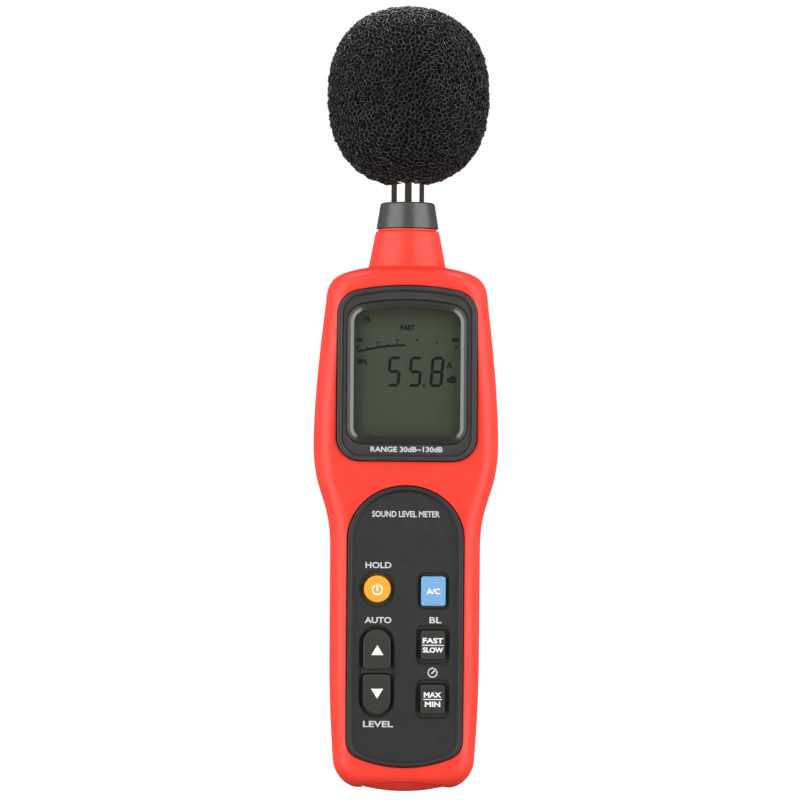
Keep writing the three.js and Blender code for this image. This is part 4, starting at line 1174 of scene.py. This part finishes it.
def build_contacts():
    """Plated contacts across the bay's ends; a conical spring presses each flat cell end."""
    middle_y, spring_height, foot_radius, narrowing, coils, wire = 9.6, 3.6, 4.4, 1.6, 3, 0.38
    for node, x, plate_z, spring_x, up in (
        ("contact_bridge", (-14, 14), (9.0, 9.4), -8.2, 1),
        ("contact_negative", (2, 14), (115.3, 115.7), 8.2, -1),
        ("contact_positive", (-14, -2), (115.3, 115.7), None, 0),
    ):
        outline = rounded_rect(((x[1] - x[0]) / 2, 6.5), (1, 1), ((x[0] + x[1]) / 2, middle_y))
        piece = make_object(f"{node}_strip", *skin([[(u, v, z) for u, v in outline] for z in plate_z]))
        if up:
            share = np.linspace(0, 1, 120)
            radius, turn = foot_radius - narrowing * share, share * coils * TAU
            root = plate_z[1] - 0.2 if up > 0 else plate_z[0] + 0.2
            path = np.column_stack([
                spring_x + up * radius * np.cos(turn), middle_y + radius * np.sin(turn),
                root + up * spring_height * share,
            ])
            carved(piece, sweep(path, wire, sides=10), how="UNION")
        finish(piece, "meter", "plated_steel", node)


# ---- microphone


def build_collar():
    bottom, top, bore = COLLAR["bottom"], COLLAR["top"], TUBE_RADIUS + GAP
    profile = softened([
        (bore, SPIGOT_BOTTOM), (SPIGOT_RADIUS, SPIGOT_BOTTOM), (SPIGOT_RADIUS, bottom),
        (COLLAR["bottom_radius"], bottom, 0.25), (COLLAR["top_radius"], top, 1.0),
        (bore, top, 0.15), (bore, SPIGOT_BOTTOM),
    ], 6)
    piece = make_object("microphone_collar", *turned(profile, segments=128, loop=True))
    finish(piece, "meter", "collar_grey", "nose_collar")


def build_tube():
    inner = TUBE_RADIUS - TUBE_WALL
    profile = softened([
        (inner, TUBE_BOTTOM), (TUBE_RADIUS, TUBE_BOTTOM, 0.2), (TUBE_RADIUS, TUBE_TOP, 0.2),
        (inner, TUBE_TOP), (inner, TUBE_BOTTOM),
    ], 3)
    piece = make_object("microphone_tube", *turned(profile, segments=128, loop=True))
    finish(piece, "meter", "polished_chrome", "mic_tube")


def build_grid():
    """The slotted cap over the capsule."""
    inner, foot, top = TUBE_RADIUS - TUBE_WALL, TUBE_TOP + GAP, GRID_TOP
    cap = softened([
        (inner, foot), (TUBE_RADIUS, foot, 0.15), (TUBE_RADIUS, top, 0.5),
        (0, top), (0, top - TUBE_WALL), (inner, top - TUBE_WALL), (inner, foot),
    ])
    grid = make_object("microphone_grid", *turned(cap, segments=96, loop=True))
    slots = []
    for step in (-1, 0, 1):
        half = 4.5 - abs(step)
        slots.append(block((step * 2.6 - 0.6, step * 2.6 + 0.6), (-half, half), (top - 2, top + 1)))
    finish(carved(grid, *slots), "meter", "polished_chrome", "mic_grid")


def foam_point(direction, depth):
    """The foam's surface in this direction from its middle, `depth` below it."""
    across = np.hypot(direction[:, 0], direction[:, 1]) / FOAM["radius"]
    half_height = np.where(direction[:, 2] > 0, FOAM["above"], FOAM["below"])
    along = np.abs(direction[:, 2]) / half_height
    reach = (across ** FOAM["power"] + along ** FOAM["power"]) ** (-1 / FOAM["power"])
    return (0, 0, FOAM["centre"]) + direction * (reach - depth)[:, None]


def scattered_directions(count, rng, jitter=0.27):
    """Evenly spread directions, each knocked a little off its place."""
    index = np.arange(count) + 0.5
    height = 1 - 2 * index / count
    turn = index * math.pi * (1 + math.sqrt(5))
    across = np.sqrt(1 - height**2)
    points = np.column_stack([across * np.cos(turn), across * np.sin(turn), height])
    spacing = math.sqrt(4 * math.pi / count)
    return unit(points + rng.normal(0, jitter * spacing, points.shape))


def cell_net(count, rng):
    """The Voronoi net of scattered directions: its corners, and each cell's ring of corners."""
    shape = bmesh.new()
    for point in scattered_directions(count, rng):
        shape.verts.new(point)
    bmesh.ops.convex_hull(shape, input=shape.verts)
    bmesh.ops.triangulate(shape, faces=shape.faces)
    shape.normal_update()
    shape.faces.ensure_lookup_table()
    corners = np.array([face.normal for face in shape.faces])
    cells = []
    for vertex in shape.verts:
        around = [face.index for face in vertex.link_faces]
        if len(around) < 3:
            continue
        out = np.array(vertex.co)
        first = corners[around[0]] - out
        first -= out * (first @ out)
        second = np.cross(out, first)
        spokes = corners[around] - out
        order = np.argsort(np.arctan2(spokes @ second, spokes @ first))
        cells.append([around[i] for i in order])
    shape.free()
    return unit(corners), cells


def foam_layer(name, count, depth, strut, seed, ragged=0.5):
    """One net of struts at about `depth` below the surface, open round the tube."""
    rng = np.random.default_rng(seed)
    corners, cells = cell_net(count, rng)
    waves = corners @ rng.normal(0, 14, (3, 5)) + rng.uniform(0, TAU, 5)
    lumps = np.sin(waves).sum(1) / 5
    depths = depth + rng.uniform(-ragged, ragged, len(corners)) + (lumps + 0.5) * ragged * 0.8
    points = foam_point(corners, depths)
    near_axis = np.hypot(points[:, 0], points[:, 1]) < TUBE_RADIUS + 0.6
    closed = near_axis & (points[:, 2] < FOAM["centre"])
    piece = make_object(name, points, [cell for cell in cells if not closed[cell].any()])
    struts = piece.modifiers.new("struts", "WIREFRAME")
    struts.thickness = strut / 1000
    struts.offset = 0
    struts.use_even_offset = False
    struts.use_boundary = True
    bake_modifiers(piece)
    piece.data.shade_smooth()
    return piece


def foam_spurs(count, seed, thickness=0.26, root_depth=1.7):
    """Cut ends of struts that stand up from the surface net, as slim three-sided spikes."""
    rng = np.random.default_rng(seed)
    out = scattered_directions(count, rng, 0.5)
    near_axis = np.hypot(out[:, 0], out[:, 1]) < 0.3
    out = out[~(near_axis & (out[:, 2] < 0))]
    lean = rng.normal(0, 0.35, out.shape)
    lean -= out * (lean * out).sum(1)[:, None]
    foot = foam_point(out, np.full(len(out), root_depth))
    tip = foam_point(out, rng.uniform(0.12, 0.9, len(out))) + lean * 0.5
    side = unit(np.cross(out, lean))
    other = np.cross(out, side)
    corners = [foot + thickness * (math.cos(a) * side + math.sin(a) * other)
               for a in (0, TAU / 3, 2 * TAU / 3)]
    points = np.stack([*corners, tip], axis=1).reshape(-1, 3)
    sides = np.array([(0, 1, 2), (0, 1, 3), (1, 2, 3), (2, 0, 3)])
    faces = np.vstack([sides + start for start in range(0, len(points), 4)]).tolist()
    return make_object("foam_spurs", points, faces)


def foam_core(depth=3.4):
    """The dark body behind the nets, with the bore for the tube. It stands for the foam deeper in, painted
    darker than the foam's own colour as the shade in its pores.
    """
    bore = TUBE_RADIUS + GAP
    start = math.asin((bore / FOAM["radius"]) ** (FOAM["power"] / 2))
    angles = np.linspace(start, math.pi, 40)
    ways = np.column_stack([np.sin(angles), np.zeros(len(angles)), -np.cos(angles)])
    profile = [(max(x, 0), z) for x, _, z in foam_point(ways, np.full(len(angles), depth))]
    profile = [p for p in profile if p[0] > bore or p[1] > FOAM["centre"]]
    profile.insert(0, (bore, profile[0][1] + 0.05))
    profile += [(0, FOAM_BORE_TOP), (bore, FOAM_BORE_TOP), profile[0]]
    return make_object("foam_core", *turned(profile, segments=96, loop=True))


def build_foam():
    """Two nets of struts over a dark core, with cut ends standing out of them. The inner net and the core
    take darker colours than the foam: painted shade.
    """
    body, slot = "windscreen", "open_cell_foam"
    net = foam_layer("foam_surface_net", count=4300, depth=0.95, strut=0.47, seed=11)
    finish(net, body, slot, "foam_windscreen", degrees=None)
    inner = foam_layer("foam_inner_net", count=3400, depth=2.1, strut=0.6, seed=23)
    finish(inner, body, "foam_shaded", degrees=None)
    finish(foam_spurs(count=5600, seed=37), body, slot, degrees=None)
    finish(foam_core(), body, "foam_core")


# ---- camera, light and stage


def place_object(name, data):
    """A new object in the scene."""
    placed = bpy.data.objects.new(name, data)
    bpy.context.scene.collection.objects.link(placed)
    return placed


def build_camera():
    camera = place_object("camera", bpy.data.cameras.new("camera"))
    bpy.context.scene.camera = camera
    distance, azimuth, roll = 1.0002, math.radians(-0.8), math.radians(0.46)
    camera.data.sensor_width = 36
    camera.data.lens = 119.8
    aim = Vector((-0.0023, -REAR_DEPTH / 1000, 0.0151))
    camera.location = aim + Vector((math.sin(azimuth), -math.cos(azimuth), 0)) * distance
    turn = Matrix.Rotation(azimuth, 4, "Z") @ Matrix.Rotation(TAU / 4, 4, "X")
    camera.rotation_euler = (turn @ Matrix.Rotation(roll, 4, "Z")).to_euler()


def soft_box(name, azimuth, distance, size, power, height=0.1, glossy=False):
    """A large area light facing the object; azimuth is from the camera's side."""
    light = bpy.data.lights.new(name, "AREA")
    light.shape = "RECTANGLE"
    light.size, light.size_y = size
    light.energy = power
    holder = place_object(name, light)
    turn = math.radians(azimuth)
    place = Vector((math.sin(turn) * distance, -math.cos(turn) * distance, height))
    holder.location = place
    holder.rotation_euler = (Vector((0, 0, 0.02)) - place).to_track_quat("-Z", "Y").to_euler()
    holder.visible_camera = False
    holder.visible_glossy = glossy


def build_lights():
    radiance, tall = 2.2, 1.3
    for name, azimuth, width in (("soft_left", -51.5, 0.74), ("soft_right", 56.4, 0.75)):
        power = radiance * math.pi * width * tall
        soft_box(name, azimuth, 0.66, (width, tall), power, glossy=True)
    soft_box("fill_left", -140, 0.9, (0.6, 1.0), 2.6)
    soft_box("fill_right", 140, 0.9, (0.6, 1.0), 2.6)
    soft_box("side_left", -95, 0.8, (0.5, 1.0), 2.2)
    soft_box("side_right", 95, 0.8, (0.5, 1.0), 1.6)
    soft_box("top", 180, 0.25, (0.8, 0.5), 10.5, height=1.1, glossy=True)


def build_world():
    """A white surround, dimmer to what it lights, and dimmer still in reflections."""
    seen, lighting, reflected = 1.05, 0.22, 0.07
    world = bpy.data.worlds.new("studio")
    bpy.context.scene.world = world
    world.use_nodes = True
    tree = world.node_tree
    tree.nodes.clear()
    rays = add_node(tree, "ShaderNodeLightPath").outputs
    unseen = add_node(tree, "ShaderNodeMix", {0: rays["Is Glossy Ray"], 2: lighting, 3: reflected})
    strength = add_node(tree, "ShaderNodeMix", {0: rays["Is Camera Ray"], 2: unseen.outputs[0], 3: seen})
    background = add_node(tree, "ShaderNodeBackground", {0: (1, 1, 1, 1), 1: strength.outputs[0]})
    add_node(tree, "ShaderNodeOutputWorld", {0: background.outputs[0]})
    bpy.context.scene.view_settings.view_transform = "Standard"


def build_stage():
    """A plain pale floor well below the object, bright enough to show no shadow."""
    z, reach = cad_low.z - 0.3, 4
    mesh = bpy.data.meshes.new("floor")
    corners = [(-reach, -reach, z), (reach, -reach, z), (reach, reach, z), (-reach, reach, z)]
    mesh.from_pydata(corners, [], [(0, 1, 2, 3)])
    glow = {"Emission Color": (1, 1, 1, 1), "Emission Strength": 1.0}
    mesh.materials.append(principled("floor_pale", (0.9, 0.9, 0.9), 0.8, **glow)[0])
    floor = place_object("floor", mesh)
    floor.visible_diffuse = False
    floor.visible_glossy = False


# ---- carried-over CAD nodes


def finish_nodes():
    """Materials and a small bevel for the CAD solids that stay as they are."""
    for finish_name, starts in NODE_FINISHES.items():
        for node in [n for name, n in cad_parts.items() if name.startswith(starts)]:
            node.data.materials.clear()
            node.data.materials.append(MATERIALS[finish_name])
            bevel = node.modifiers.new("edges", "BEVEL")
            bevel.width = NODE_BEVEL / 1000
            bevel.segments = 2
            bevel.limit_method = "ANGLE"
            bevel.angle_limit = math.radians(50)


# ---- the scene

build_camera()
build_lights()
build_world()
build_stage()
build_front_casing()
build_rear_casing()
build_battery_cover()
build_casing_screws()
build_tripod_bush()
build_bezel()
build_window()
build_fascia()
for key in KEYS:
    build_key(key)
build_display_figures()
build_printed_legends()
build_key_legends()
build_side_sockets()
build_trimmer_rotor()
build_cells()
build_contacts()
build_collar()
build_tube()
build_grid()
build_foam()
finish_nodes()
